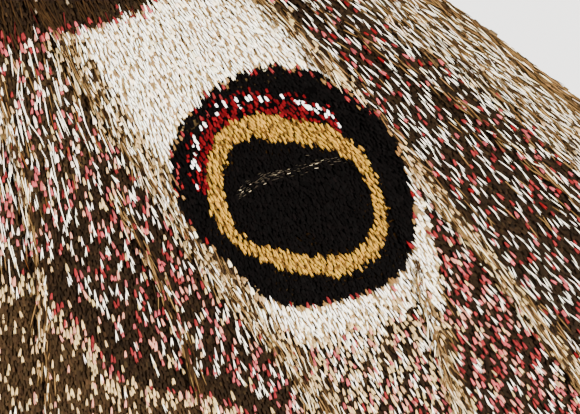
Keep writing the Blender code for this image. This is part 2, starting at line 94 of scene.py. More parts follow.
HINDWING = {
    "hinge": (2.4, 5.2),
    "sweep": math.radians(28.0),
    "cross_vein": ("m1", "m3", 0.5),
    "lines": [
        ("costa", None, [(-1.2, -1), (5, -2.3), (12, -2.6), (17.5, -1.9), (21, -0.3)]),
        ("sc", 0, [(-1.2, -0.6), (5.2, -1.4), (12.3, -1), (18.4, 0), (23.3, 1.4)]),
        ("rs", 0, [(-1.2, -0.25), (5.4, 0), (12.3, 1.4), (18.6, 2.6), (24.9, 4)]),
        ("m1", 11, [(-1.2, 0.05), (5.5, 1), (12.2, 3.6), (18.5, 5.2), (25.6, 7)]),
        ("m2", 11, [(-1.2, 0.35), (5.3, 1.8), (11.7, 5.3), (17.6, 7.8), (25, 10.3)]),
        ("m3", 0, [(-1.2, 0.7), (5, 2.7), (10.8, 7), (16, 10.2), (23.4, 13.9)]),
        ("cua1", 8, [(-1.2, 1), (4.6, 3.4), (9.2, 8), (13.8, 12.2), (20.6, 17)]),
        ("cua2", 7, [(-1.2, 1.35), (4.1, 4.1), (7.9, 8.9), (11.5, 13.5), (16.8, 19.4)]),
        ("a", 0, [(-1.2, 1.7), (3.4, 4.6), (6.5, 9.4), (9.4, 14), (13.2, 19.9)]),
        ("anal", None, [(-1.2, 2.1), (2.6, 5), (5.2, 9.6), (7.6, 14), (10.4, 18.2)]),
    ],
}
MEMBRANE_THICKNESS = 0.1
MEMBRANE_LIFT = 0.1
# Painted shade: the membrane shows only in the gaps between scales, so it takes its ground scales' colour
# darkened to this share.
MEMBRANE_PAINTED_SHADE = 0.4
VEIN_RISE = 0.14
VEIN_SPREAD = 0.2
LINE_STEPS = 48

# Body sections of the skin, under the fur: y, half width, half height, height of the middle.
BODY_SECTIONS = [
    (-8.2, 0.3, 0.3, 3.75), (-7.9, 0.9, 0.9, 3.8), (-7.2, 1.4, 1.4, 4.0), (-6.3, 1.65, 1.65, 4.25),
    (-5.4, 1.5, 1.45, 4.45), (-4.7, 1.6, 1.5, 4.55), (-4.0, 2.4, 2.1, 4.7), (-2.9, 3.0, 2.6, 4.75),
    (-1.0, 3.4, 2.8, 4.8), (1.5, 3.4, 2.8, 4.8), (3.4, 3.0, 2.55, 4.6), (4.7, 2.7, 2.3, 4.45),
    (7.0, 3.3, 2.7, 4.25), (10.0, 3.5, 2.85, 4.1), (13.5, 3.4, 2.75, 3.9), (16.5, 2.8, 2.35, 3.55),
    (18.8, 1.8, 1.6, 3.15), (19.9, 0.9, 0.8, 2.9), (20.3, 0.3, 0.3, 2.75),
]
SKIN_AROUND = 64
SKIN_STEPS = 180
# Painted shade: the skin under the fur takes the fur's colour darkened to this share, for the shade among
# the hairs.
SKIN_PAINTED_SHADE = 0.55
ABDOMEN_START = 4.9
ABDOMEN_RING = 2.15

# The body's coat from face to tail: y, hair length and how far hairs stand off the skin.
COAT = np.array([
    (-8.2, 0.5, 0.3), (-6.8, 0.5, 0.5), (-5.4, 0.9, 0.6), (-4.4, 1.8, 0.72), (-2.5, 2.2, 0.56),
    (1.0, 2.3, 0.45), (3.6, 2.2, 0.36), (5.5, 1.3, 0.3), (12.0, 1.1, 0.3), (18.5, 1.0, 0.34),
    (20.3, 1.3, 0.4),
])
COAT_ENDS = (-8.15, 20.25)
COAT_COUNT = 98000
COAT_WIDTH = 0.05
FUR_DROOP = 0.32
BELLY_SHARE = 0.5
FACE_START = -6.6
FACE_WAY = (0.0, -1.0, -0.75)

# Compound eyes: steps from side to side, faces round, and facets per metre.
EYE_RADIUS = 1.1
EYE_CENTRE = (1.55, -6.65, 4.3)
EYE_STEPS = 40
EYE_AROUND = 72
EYE_FACETS = 12000.0

# Measured outlines of the eyespot: radii in mm every 30 degrees, from -180, round its centre.
BLACK_RADII = [3.31, 3.26, 3.12, 2.84, 2.85, 2.98, 3.3, 2.98, 2.86, 2.5, 2.64, 3.06]
OCHRE_RADII = [2.35, 2.1, 1.8, 1.88, 1.97, 2.26, 2.58, 2.29, 1.95, 1.95, 2.09, 2.18]
PUPIL_RADII = [1.89, 1.44, 1.21, 1.35, 1.65, 1.95, 2.13, 1.79, 1.52, 1.6, 1.75, 1.77]
CRESCENT_MIDDLE = math.radians(-153.0)
CRESCENT_HALF = math.radians(66.0)

# Kinds of scale: screen colour, how far single scales stray in brightness, and the make they have.
KINDS = {
    "white": ((247, 238, 222), 0.05, "fork"),
    "white spike": ((255, 250, 236), 0.05, "spike"),
    "white needle": ((246, 238, 222), 0.06, "needle"),
    "white prong": ((246, 238, 224), 0.06, "prong"),
    "white bead": ((252, 252, 250), 0.04, "bead"),
    "white hair": ((222, 203, 168), 0.1, "hair"),
    "white strand": ((246, 235, 216), 0.08, "strand"),
    "white petal": ((230, 207, 188), 0.08, "petal"),
    "cream": ((178, 149, 103), 0.12, "arrow"),
    "cream broad": ((230, 214, 182), 0.08, "broad"),
    "grey": ((116, 100, 80), 0.15, "arrow"),
    "pink": ((143, 62, 66), 0.2, "arrow"),
    "pink petal": ((145, 64, 66), 0.2, "petal"),
    "blush": ((176, 115, 98), 0.14, "arrow"),
    "rose": ((104, 30, 32), 0.22, "arrow"),
    "red": ((76, 4, 9), 0.32, "bead"),
    "scarlet": ((94, 10, 15), 0.22, "arrow"),
    "tan": ((116, 85, 48), 0.2, "arrow"),
    "tan hair": ((100, 75, 43), 0.22, "hair"),
    "brown hair": ((38, 24, 10), 0.25, "hair"),
    "rust hair": ((80, 44, 18), 0.25, "hair"),
    "crimson hair": ((60, 14, 14), 0.3, "hair"),
    "grey hair": ((66, 58, 48), 0.25, "hair"),
    # pale is the ground under the white field, the white band and the margin: where it shows between white
    # scales it is partly the ground's own tan and partly painted shade in the gaps.
    "pale": ((118, 95, 62), 0.16, "broad"),
    "brown": ((40, 28, 16), 0.24, "velvet"),
    "taupe": ((60, 46, 29), 0.22, "velvet"),
    "dark": ((25, 16, 8), 0.3, "velvet"),
    "black": ((2, 1, 1), 0.35, "velvet"),
    "amber": ((84, 58, 22), 0.2, "velvet"),
    "ochre": ((152, 113, 36), 0.12, "blade"),
    "none": ((0, 0, 0), 0.0, None),
}

# Makes of scale: blade shape, length, width, lift of the tip and droop.
MAKES = {
    "arrow": ("ARROW", 0.2, 0.066, 0.1, 0.03),
    "fork": ("FORK", 0.28, 0.058, 0.11, 0.03),
    "spike": ("SPIKE", 0.27, 0.044, 0.11, 0.03),
    "needle": ("SPIKE", 0.37, 0.023, 0.12, 0.05),
    "prong": ("FORK", 0.33, 0.038, 0.12, 0.04),
    "bead": ("PLAIN", 0.17, 0.066, 0.07, 0.02),
    "broad": ("BROAD", 0.2, 0.09, 0.06, 0.02),
    "blade": ("SPIKE", 0.2, 0.062, 0.075, 0.02),
    "velvet": ("PLAIN", 0.15, 0.062, 0.055, 0.015),
    "hair": ("HAIR", 0.5, 0.024, 0.13, 0.04),
    "strand": ("HAIR", 0.7, 0.027, 0.16, 0.08),
    "petal": ("BROAD", 0.21, 0.08, 0.09, 0.03),
}
COARSE_SHAPES = {"ARROW": "NEEDLE", "FORK": "NEEDLE", "SPIKE": "NEEDLE", "BROAD": "PLAIN"}

# Blade shapes: points as share along, share across from -1 to 1 and camber, then the triangles.
FORKED = [(0, 1, 8), (0, 8, 2), (1, 3, 6), (1, 6, 8), (8, 6, 4), (8, 4, 2), (3, 5, 6), (4, 6, 7)]
RIDGED = [(0, 1, 3), (0, 3, 2), (1, 4, 6), (1, 6, 3), (3, 6, 5), (3, 5, 2), (4, 7, 6), (6, 8, 5)]
BLADES = {
    "ARROW": ([
        (0, 0, 0), (0.22, -0.66, 0), (0.22, 0.66, 0), (0.68, -1, 0), (0.68, 1, 0),
        (1.05, -0.72, 0), (0.8, 0, 0.1), (0.98, 0.8, 0), (0.22, 0, 0.13),
    ], FORKED),
    "FORK": ([
        (0, 0, 0), (0.35, -0.5, 0), (0.35, 0.5, 0), (0.65, -0.85, 0), (0.65, 0.85, 0),
        (1.05, -1, 0), (0.66, 0, 0.12), (0.95, 1.05, 0), (0.35, 0, 0.15),
    ], FORKED),
    "SPIKE": ([
        (0, 0, 0), (0.3, -0.8, 0), (0.3, 0.8, 0), (0.3, 0, 0.3), (0.7, -0.8, 0),
        (0.7, 0.8, 0), (0.68, 0, 0.3), (1.02, -0.55, 0), (0.92, 0.6, 0),
    ], RIDGED),
    "BROAD": ([
        (0, 0, 0), (0.3, -0.8, 0), (0.3, 0.8, 0), (0.3, 0, 0.12), (0.85, -1, 0),
        (0.85, 1, 0), (0.85, 0, 0.14), (1, -0.5, 0.05), (1, 0.5, 0.05),
    ], RIDGED),
    "NEEDLE": ([
        (0, 0, 0), (0.45, -1, 0), (0.45, 1, 0), (1, -0.8, 0), (0.7, 0, 0.2), (0.95, 0.8, 0),
    ], [(0, 1, 4), (0, 4, 2), (1, 3, 4), (2, 4, 5)]),
    "PLAIN": ([
        (0, 0, 0), (0.35, -1, 0), (0.35, 1, 0), (0.95, -0.75, 0), (0.95, 0.75, 0),
    ], [(0, 1, 2), (1, 3, 2), (2, 3, 4)]),
    "HAIR": ([
        (0, -0.7, 0), (0, 0.7, 0), (0.35, -1, 0), (0.35, 1, 0), (0.7, -0.7, 0), (0.7, 0.7, 0), (1, 0, 0),
    ], [(0, 2, 1), (1, 2, 3), (2, 4, 3), (3, 4, 5), (4, 6, 5)]),
}
PATCH = 0.003
TUBE_PATCH = 0.1
MOST_TRIANGLES = 190000

# What each zone of a wing holds: its ground scales, and the shares of the cover scales on them.
ZONES = {
    "pupil": ("black", {"black": 1}),
    "ochre": ("amber", {"ochre": 1}),
    "ring": ("black", {"black": 1}),
    "ring_edge": ("black", {"black": 0.72, "rose": 0.12, "scarlet": 0.04, "tan": 0.12}),
    "crescent_red": ("black", {"red": 0.86, "black": 0.14}),
    "crescent_white": ("black", {"white bead": 0.55, "red": 0.2, "black": 0.25}),
    "crescent_rim": ("black", {"black": 0.62, "red": 0.28, "rose": 0.1}),
    "white": ("pale", {"white spike": 0.82, "cream broad": 0.18}),
    "thin_white": ("brown", {
        "white spike": 0.3, "cream": 0.34, "blush": 0.06, "pink": 0.04, "none": 0.26,
    }),
    "cream_band": ("brown", {
        "cream": 0.28, "tan hair": 0.28, "white hair": 0.14, "brown hair": 0.12, "none": 0.18,
    }),
    "hairy_band": ("brown", {
        "cream": 0.3, "tan hair": 0.16, "brown hair": 0.12, "white hair": 0.12, "white needle": 0.08,
        "none": 0.22,
    }),
    "antemedian": ("dark", {
        "none": 0.64, "brown hair": 0.22, "brown": 0.08, "crimson hair": 0.045, "grey": 0.015,
    }),
    "antemedian_edge": ("dark", {
        "crimson hair": 0.12, "rose": 0.16, "pink petal": 0.14, "blush": 0.05, "white needle": 0.03,
        "none": 0.5,
    }),
    "base": ("brown", {"grey": 0.2, "white hair": 0.16, "cream": 0.14, "brown": 0.25, "none": 0.25}),
    "anal": ("dark", {
        "white": 0.105, "pink": 0.06, "blush": 0.045, "rose": 0.05, "cream": 0.03, "none": 0.71,
    }),
    "streaked": ("brown", {
        "white strand": 0.085, "white needle": 0.05, "white": 0.02, "white petal": 0.04, "cream": 0.04,
        "pink petal": 0.07, "pink": 0.03, "tan hair": 0.06, "rust hair": 0.05, "none": 0.54,
    }),
    "costal_dark": ("dark", {
        "white prong": 0.12, "white needle": 0.04, "pink": 0.03, "rose": 0.05, "scarlet": 0.01,
        "tan hair": 0.015, "none": 0.72,
    }),
    "costal_pale": ("taupe", {
        "white needle": 0.34, "white hair": 0.13, "cream": 0.04, "tan hair": 0.2, "brown hair": 0.15,
        "none": 0.14,
    }),
    "costa": ("taupe", {"tan hair": 0.55, "white hair": 0.16, "brown hair": 0.29}),
    "speckled": ("dark", {
        "white": 0.1, "cream": 0.22, "blush": 0.09, "pink": 0.05, "rose": 0.03, "none": 0.51,
    }),
    "rosy": ("dark", {
        "blush": 0.07, "pink": 0.08, "pink petal": 0.03, "rose": 0.07, "white": 0.07, "cream": 0.04,
        "none": 0.64,
    }),
    "band_dark": ("dark", {"none": 0.9, "brown": 0.06, "cream": 0.04}),
    "band_edge": ("dark", {"rose": 0.24, "pink": 0.12, "cream": 0.06, "none": 0.58}),
    "band_pale": ("brown", {"cream": 0.44, "blush": 0.12, "white": 0.06, "none": 0.38}),
    "outer": ("brown", {"cream": 0.12, "blush": 0.025, "brown": 0.2, "none": 0.655}),
    "outer_grey": ("brown", {"white": 0.26, "grey": 0.24, "cream": 0.2, "brown": 0.3}),
    "sub_white": ("pale", {"white spike": 0.7, "cream broad": 0.3}),
    "margin": ("pale", {"tan": 0.4, "grey": 0.3, "cream": 0.3}),
    "apex_red": ("dark", {"red": 0.8, "rose": 0.2}),
}

# Where the zones lie. Each line runs from the leading edge to the hind edge.
FOREWING_MARKS = {
    "eye": (*photo_to_wing(EYE_PX), 1.0),
    "antemedian": [(9.8, -2.4), (10.6, 0), (10.5, 2.2), (9.6, 3.5), (8.2, 4.9), (6.9, 6.5), (5.7, 8.4)],
    "postmedian": [
        (27, -2.4), (27.4, 1), (26.8, 4), (25, 6.6), (21.8, 8.8), (19.4, 9), (17.7, 9.15), (17, 9.35),
        (16.6, 9.75), (15.3, 10.15), (14.5, 9.95), (13.85, 9.7), (13.4, 9.8), (12.75, 9.45), (12.35, 9.1),
        (11.75, 9.85), (11.1, 11.4), (11.4, 15),
    ],
    "wavy_from": 18.0,
    "stem": "m1",
    "rosy": [(17.8, 1.3), (19.8, 2.9), (20.8, 3.9), (21.6, 4.8), (23, 6), (25, 7.4)],
    "cubitus": "m3",
    "margin": 32.2,
}
HINDWING_MARKS = {
    "eye": (12.0, 5.4, 0.84),
    "antemedian": [(5.6, -2.4), (6.4, 0.6), (6.3, 3), (5.2, 5.2), (3.6, 7.2)],
    "postmedian": [(19.2, -2.8), (19.4, 1), (18.6, 5), (17, 8.6), (14.6, 12), (11.2, 14.6), (7, 16.4)],
    "wavy_from": 0.0,
    "stem": "rs",
    "rosy": [(14, 3), (15.5, 4.2), (17.5, 5.6), (20, 7)],
    "cubitus": "m3",
    "margin": 24.3,
}

# Bands along the two cross lines: the zone, and how far past the line it starts or ends.
ANTEMEDIAN_BANDS = {"antemedian_edge": 0.12, "antemedian": -0.12, "base": -1.5}
POSTMEDIAN_BANDS = {
    "band_dark": -0.55, "band_edge": -0.12, "band_pale": 0, "outer": 0.34, "outer_grey": 2.5,
}
ZIGZAG_LENGTH = 2.4

# Steps that spread the draws of neighbouring scales evenly, and how far a draw strays from them.
EVEN_STEPS = (0.7548776662, 0.5698402910)
EVEN_STRAY = 0.1
ROOT_STRAY = 0.42

# Coats of scales: each layer's spacing, size and lift, how far a scale shows, fray of the borders.
COARSE = {
    "ground": ((0.22, 0.12), 1.6, 0.02),
    "cover": ((0.24, 0.12), 1.45, 0.06),
    "shown": 0.2,
    "frays": (0.12, 0.1),
}
FINE = {
    "ground": ((0.105, 0.06), 1.0, 0.015),
    "cover": ((0.14, 0.07), 1.0, 0.04),
    "shown": 0.14,
    "frays": (0.06, 0.028),
}
UNDER_LARGER = 1.4
EYE_LARGER = 1.25
EYE_REACH = 3.5
VIEW_MIDDLE = photo_to_wing((PHOTO_WIDTH / 2, PHOTO_HEIGHT / 2))
VIEW_REACH = 10.2

# How scales lie: turned towards the hind edge, fanned out from the wing's base, and strayed.
SCALE_TURN = math.radians(12)
SCALE_FAN = 0.88
SCALE_STRAY = math.radians(7)

# Hair along a line: hairs per mm, sideways spread, length, width, whether on the eyespot, its kinds.
VEIN_HAIR = (17, 0.09, 0.42, 0.026, False, {"tan hair": 0.4, "brown hair": 0.46, "white hair": 0.14})
UNDER_HAIR = (9, 0.085, 0.6, 0.04, False, {"tan hair": 0.6, "brown hair": 0.4})
LUNE_HAIR = (42, 0.07, 0.085, 0.011, True, {"white hair": 0.14, "grey hair": 0.86})
LUNE_PX = [(236.0, 197.0), (262.0, 179.0), (300.0, 168.0), (350.0, 156.0)]

# The fringe: scales per mm, the stretch between its changes of colour, and its kinds in pairs.
FRINGE_PER_MM = 34
FRINGE_STRETCH = 0.9
FRINGE_KINDS = ("grey", "cream", "tan", "brown")


def srgb(red, green, blue):
    """An 8-bit screen colour as linear light."""
    values = np.array([red, green, blue]) / 255.0
    return np.where(values <= 0.04045, values / 12.92, ((values + 0.055) / 1.055) ** 2.4)


def kind_numbers(names):
    """The numbers of kinds of scale, in the order of KINDS."""
    return np.array([list(KINDS).index(name) for name in names])


ZONE_NAMES = list(ZONES)
GROUND_KINDS = kind_numbers(ground for ground, _ in ZONES.values())
KIND_COLOURS = np.array([srgb(*colour) for colour, _, _ in KINDS.values()])
KIND_STRAYS = np.array([stray for _, stray, _ in KINDS.values()])
KIND_MAKES = np.array([list(MAKES).index(make) if make else -1 for _, _, make in KINDS.values()])


def placed(points):
    """Points of the body's own frame, in millimetres, in the model's frame, in metres."""
    return (np.asarray(points, float) + [0.0, BODY_Y, 0.0]) * MM


def spline(points, shares):
    """Points at shares, from 0 to 1, of a smooth curve through points."""
    points = np.asarray(points, float)
    padded = np.concatenate([2 * points[:1] - points[1:2], points, 2 * points[-1:] - points[-2:-1]])
    place = np.clip(np.asarray(shares, float), 0, 1) * (len(points) - 1)
    index = np.minimum(place.astype(int), len(points) - 2)
    t = (place - index)[..., None]
    a, b, c, d = (padded[index + step] for step in range(4))
    return 0.5 * (2 * b + (c - a) * t + (2 * a - 5 * b + 4 * c - d) * t**2 + (3 * b - a - 3 * c + d) * t**3)


def way_along(line, shares, step):
    """The way from a step before to a step past the places at shares of a line."""
    return spline(line, np.minimum(shares + step, 1)) - spline(line, np.maximum(shares - step, 0))


def headings_along(line, shares, step):
    ahead = way_along(line, shares, step)
    return np.arctan2(ahead[:, 1], ahead[:, 0])


def line_length(line):
    return np.hypot.reduce(np.diff(np.asarray(line, float), axis=0), axis=1).sum()


def unit(vectors):
    return vectors / np.maximum(np.linalg.norm(vectors, axis=-1, keepdims=True), 1e-12)


def ways(headings):
    """Unit steps along headings and square to them, in a wing's own frame."""
    cos, sin = np.cos(headings), np.sin(headings)
    return np.stack([cos, sin], axis=1), np.stack([-sin, cos], axis=1)


def varied(count, middle, spread, rng):
    return middle * np.exp(rng.normal(0, spread, count))


def blade_sizes(count, rng, droop, *strayed):
    """Length, width and lift of blades in metres, each from its middle and spread, and their droop."""
    sizes = [varied(count, middle, spread, rng) * MM for middle, spread in strayed]
    return (*sizes, np.full(count, droop * MM))


def track(line, points):
    """Points' signed distance from a line, above zero on its far side, and how far along it they lie."""
    best = np.full(len(points), 1e9)
    offset = np.zeros(len(points))
    along = np.zeros(len(points))
    start = 0.0
    for a, b in zip(line[:-1], line[1:]):
        step = b - a
        length = np.hypot(*step)
        t = np.clip((points - a) @ step / length**2, 0, 1)
        away = points - (a + t[:, None] * step)
        distance = np.hypot(away[:, 0], away[:, 1])
        side = np.sign(step[1] * away[:, 0] - step[0] * away[:, 1])
        nearer = distance < best
        best[nearer] = distance[nearer]
        offset[nearer] = (distance * side)[nearer]
        along[nearer] = start + (t * length)[nearer]
        start += length
    return offset, along


def inside(outline, points):
    """Which points lie inside a closed outline."""
    found = np.zeros(len(points), bool)
    x, y = points[:, 0], points[:, 1]
    for a, b in zip(outline, np.roll(outline, -1, axis=0)):
        crosses = (a[1] > y) != (b[1] > y)
        with np.errstate(divide="ignore", invalid="ignore"):
            at = a[0] + (y - a[1]) * (b[0] - a[0]) / (b[1] - a[1])
        found ^= crosses & (x < at)
    return found


class Wing:
    """One wing's surface, its veins and its markings."""

    def __init__(self, shape, marks, side, slot, in_photo):
        self.shape, self.marks, self.side, self.slot = shape, marks, side, slot
        self.in_photo = in_photo
        shares = np.linspace(0, 1, LINE_STEPS)
        self.lines = {name: spline(points, shares) for name, _, points in shape["lines"]}
        self.table = np.stack(list(self.lines.values()))
        self.rim = spline(self.table[:, -1], np.linspace(0, 1, 4 * LINE_STEPS))
        self.outline = np.concatenate([self.table[0], self.rim[1:-1], self.table[-1][::-1]])
        self.veins = []
        for name, start, _ in shape["lines"]:
            if start is not None:
                line = self.lines[name]
                self.veins.append(line[line[:, 0] >= start - 0.3])
        first, last, cross = shape["cross_vein"]
        self.veins.append(np.array([spline(self.lines[name], [cross])[0] for name in (first, last)]))

    def height(self, points):
        """The rise of the membrane over its plate's middle, veins standing proud."""
        rise = np.zeros(len(points))
        for vein in self.veins:
            near = track(vein[::2] if len(vein) > 4 else vein, points)[0]
            rise = np.maximum(rise, np.exp(-((near / VEIN_SPREAD) ** 2)))
        return rise * VEIN_RISE

    def world(self, points, lift):
        """Points of the wing's own frame in the model's frame, lifted off its plate's middle."""
        hinge_y, hinge_height = self.shape["hinge"]
        turn, rise = math.cos(self.shape["sweep"]), math.sin(self.shape["sweep"])
        s, d = points[:, 0], points[:, 1]
        x = self.side * (HINGE_X + s * turn - d * rise)
        y = hinge_y + s * rise + d * turn
        droop = math.tan(WING_SLOPE) * (np.abs(x) - HINGE_X)
        arch = WING_ARCH * ((y - WING_ARCH_REACH / 2) / WING_ARCH_REACH) ** 2
        return placed(np.stack([x, y, hinge_height - droop - arch + lift], axis=1))

    def frame_at(self, points, headings):
        """Unit vectors along headings on the plate, and its upward normal, at points."""
        step = 0.01
        here = self.world(points, 0.0)
        ahead, beside = (unit(self.world(points + step * way, 0.0) - here) for way in ways(headings))
        return ahead, unit(np.cross(ahead, beside)) * self.side

    def patch(self, points):
        """Where points lie on the unwrapped wing, in its bake map."""
        low, high = self.outline.min(0) - 0.6, self.outline.max(0) + 0.6
        return 0.02 + 0.96 * (points - low) / (high - low)

    def eye_place(self, points):
        """How far points lie from the eyespot's centre, in its own size, and at what angle."""
        s, d, size = self.marks["eye"]
        away = (points - [s, d]) / size
        return np.hypot(away[:, 0], away[:, 1]), np.arctan2(away[:, 1], away[:, 0])

    def eye_point(self, px):
        """The place on this wing's eyespot that a point on the photo's eyespot has."""
        s, d, size = self.marks["eye"]
        return np.array([s, d]) + (photo_to_wing(px) - photo_to_wing(EYE_PX)) * size

    def fine_at(self, points):
        """Which points have fine scales: the photo's stretch of wing, or another wing's eyespot."""
        if self.in_photo:
            return np.hypot(*(points - VIEW_MIDDLE).T) < VIEW_REACH
        return self.eye_place(points)[0] < EYE_REACH

    def lay(self, coat, shape, points, headings, lift, top, sizes, colours):
        """Lays blades along headings on one face."""
        face = 1.0 if top else -1.0
        along, up = self.frame_at(points, headings)
        height = MEMBRANE_LIFT + face * (MEMBRANE_THICKNESS / 2 + self.height(points) + lift)
        coat.add(shape, self.world(points, height), along, up * face, sizes, colours, self.patch(points))


def radius_at(radii, angles):
    """A smooth closed outline through equally spaced radii."""
    terms = np.fft.rfft(radii) / len(radii)
    total = np.full(len(angles), terms[0].real)
    for harmonic in range(1, len(terms)):
        weight = 1.0 if harmonic == len(radii) // 2 else 2.0
        total += weight * (terms[harmonic] * np.exp(1j * harmonic * (angles + math.pi))).real
    return total


def zones_of(wing, points, rng, fray, eye_fray):
    """The zone of each point, with the borders frayed. All distances are in millimetres."""
    marks = wing.marks
    eye_s, rosy_s = marks["eye"][0], marks["rosy"][0][0]
    zone = np.full(len(points), ZONE_NAMES.index("speckled"))

    def put(where, name):
        zone[where] = ZONE_NAMES.index(name)

    def below(line):
        return track(np.array(line)[::-1], seen)[0]

    seen = points + rng.normal(0, fray, points.shape)
    s, d = seen[:, 0], seen[:, 1]
    ante, _ = track(np.array(marks["antemedian"]), seen)
    post, along = track(np.array(marks["postmedian"]), seen)
    waves = 0.05 + 0.25 * np.clip((s - marks["wavy_from"]) / 1.5, 0, 1)
    zigzag = post + waves * (2 * np.abs((along / ZIGZAG_LENGTH) % 1 - 0.5) - 0.5) * 2
    stem, cubitus = below(wing.lines[marks["stem"]]), below(wing.lines[marks["cubitus"]])
    inner, edge = below(marks["rosy"]), below(wing.lines["costa"])
    rim, _ = track(wing.rim, seen)
    away, angle = wing.eye_place(points + rng.normal(0, eye_fray, points.shape))
    chance = rng.random(len(points))

    put(cubitus > 0, "anal")
    put((cubitus > 0) & (s < 11.6) & (chance < 0.6), "streaked")
    put(stem < 0, "costal_dark")
    put((stem < 0) & (edge < 1.15 + 0.5 * chance), "costal_pale")
    put((stem > 0) & (inner < 0) & (s > rosy_s), "rosy")

    # The white field fades away from the eyespot, and reaches on in a strip and towards the base.
    fade = np.clip((4.2 - away) / 0.9, 0, 1)
    strip = np.clip((0.44 - np.abs(inner - 0.12)) / 0.3, 0, 1) * (s > eye_s)
    strip *= np.clip((5.4 - away) / 1.2, 0, 1)
    base_side = np.clip((eye_s + 0.8 - s) / 0.8, 0, 1)
    share = np.maximum(np.maximum(fade, strip), base_side)
    field = (stem > 0) & (cubitus < 0) & ((inner > 0) | (s < rosy_s))
    put(field & (chance < share), "white")
    put(field & (chance >= share) & (chance < share + 0.35) & (away < 5.2), "thin_white")
    put((np.abs(inner - 0.05) < 0.2) & (s > eye_s) & (away > 4.3 + 0.8 * chance), "cream_band")

    for name, end in ANTEMEDIAN_BANDS.items():
        put(ante < end, name)
    put((np.abs(cubitus + 0.1) < 0.38) & (chance < 0.85) & (ante > 0.25), "hairy_band")
    put((np.abs(stem + 0.08) < 0.2) & (s > rosy_s - 6.0), "cream_band")
    for name, start in POSTMEDIAN_BANDS.items():
        put(zigzag > start, name)
    put(rim > -2.7 + 0.5 * np.sin(along * 1.9), "sub_white")
    put(rim > -1.5, "margin")
    apex = (s > marks["margin"] - 3.4) & (d < 3.4)
    put(apex & (np.abs(d - 1.5 - 0.3 * (s - 31)) < 0.3), "apex_red")
    put(edge < 0.32, "costa")
    put((np.hypot(s, d) < 2.5) & (chance < 0.8), "base")
    eye_zones(put, away, angle)
    return zone


def eye_zones(put, away, angle):
    """The eyespot's rings: black outline, red and white crescent, ochre ring and black pupil."""
    black, ochre, pupil = (radius_at(radii, angle) for radii in (BLACK_RADII, OCHRE_RADII, PUPIL_RADII))
    turn = np.abs((angle - CRESCENT_MIDDLE + math.pi) % (2 * math.pi) - math.pi)
    crescent = turn < CRESCENT_HALF
    thin = np.sqrt(np.clip(1 - (turn / CRESCENT_HALF) ** 2, 0, 1))
    beyond = away - ochre
    put(away < black, "ring")
    put((away < black) & (away > black - 0.2) & crescent, "ring_edge")
    put((away < black) & (away > black - 0.1), "ring_edge")
    put((beyond < 0.72 * thin) & crescent & (away < black - 0.22), "crescent_rim")
    put((beyond < 0.54 * thin) & crescent, "crescent_white")
    put((beyond < 0.38 * thin) & crescent, "crescent_red")
    put(away < ochre, "ochre")
    put(away < pupil, "pupil")


def scatter(wing, spacing, rng, density=None):
    """Roots on a jittered staggered grid over a wing where density allows, each with its even draw."""
    low, high = wing.outline.min(0), wing.outline.max(0)
    s, d = (np.arange(low[i], high[i], spacing[i]) for i in (0, 1))
    grid = np.stack(np.meshgrid(s, d), axis=-1)
    grid[1::2, :, 0] += spacing[0] / 2
    points = grid.reshape(-1, 2)
    points = points + rng.uniform(-ROOT_STRAY, ROOT_STRAY, points.shape) * spacing
    columns, rows = np.meshgrid(np.arange(len(s)), np.arange(len(d)))
    draws = EVEN_STEPS[0] * columns.ravel() + EVEN_STEPS[1] * rows.ravel()
    draws = (draws + rng.normal(0, EVEN_STRAY, len(draws))) % 1.0
    kept = inside(wing.outline, points)
    if density is not None:
        kept[kept] = rng.random(int(kept.sum())) < density(points[kept])
    return points[kept], draws[kept]


class Coat:
    """Scales or hairs gathered into joined meshes, each below the triangles that a piece may have."""

    def __init__(self, name, material, slot):
        self.name, self.material, self.slot = name, material, slot
        self.blocks = []

    def add(self, shape, roots, along, up, sizes, colours, patches):
        """Blades of one shape. sizes holds length, width, lift at the tip and droop, in metres."""
        template, triangles = (np.array(part) for part in BLADES[shape])
        length, width, lift, droop = (size[:, None, None] for size in sizes)
        t, w, camber = (template[None, :, i, None] for i in range(3))
        ahead, above = along[:, None, :], up[:, None, :]
        across = np.cross(above, ahead)
        rise = lift * t - droop * t**2 + camber * width
        points = roots[:, None, :] + ahead * length * t + across * width / 2 * w + above * rise
        # Painted shade: each blade darkens to 0.8 of its colour at its root, where it lies under its
        # neighbours.
        root_shaded_colours = (0.8 + 0.2 * np.clip(t * 1.6, 0, 1)) * colours[:, None, :]
        local = np.stack([template[:, 0] - 0.5, template[:, 1] / 2], axis=1) * PATCH
        self.blocks.append((points, root_shaded_colours, patches[:, None, :] + local[None], triangles))

    def finish(self):
        """Makes the meshes, filling one before the next is begun."""
        held, room, number = [], MOST_TRIANGLES, 1
        for *arrays, triangles in self.blocks:
            start = 0
            while start < len(arrays[0]):
                count = min(len(arrays[0]) - start, room // len(triangles))
                if count:
                    held.append((*(array[start:start + count] for array in arrays), triangles))
                    start += count
                    room -= count * len(triangles)
                else:
                    self.make(held, number)
                    held, room, number = [], MOST_TRIANGLES, number + 1
        self.make(held, number)

    def make(self, held, number):
        make_piece(f"{self.name}_{number}", *joined(held), self.material, self.slot)


def joined(blocks):
    """Blocks of repeated shapes as one: its points, faces, colours and places in the bake map."""
    faces, first = [], 0
    for points, _, _, triangles in blocks:
        count, corners = points.shape[:2]
        steps = first + np.arange(count)[:, None, None] * corners
        faces.append((triangles[None] + steps).reshape(-1, 3))
        first += count * corners
    points, colours, spots = (
        np.concatenate([block[i].reshape(-1, block[i].shape[-1]) for block in blocks]) for i in range(3)
    )
    return points, np.concatenate(faces), colours, spots


def linked(name, data):
    """An object in the scene."""
    obj = bpy.data.objects.new(name, data)
    bpy.context.scene.collection.objects.link(obj)
    return obj


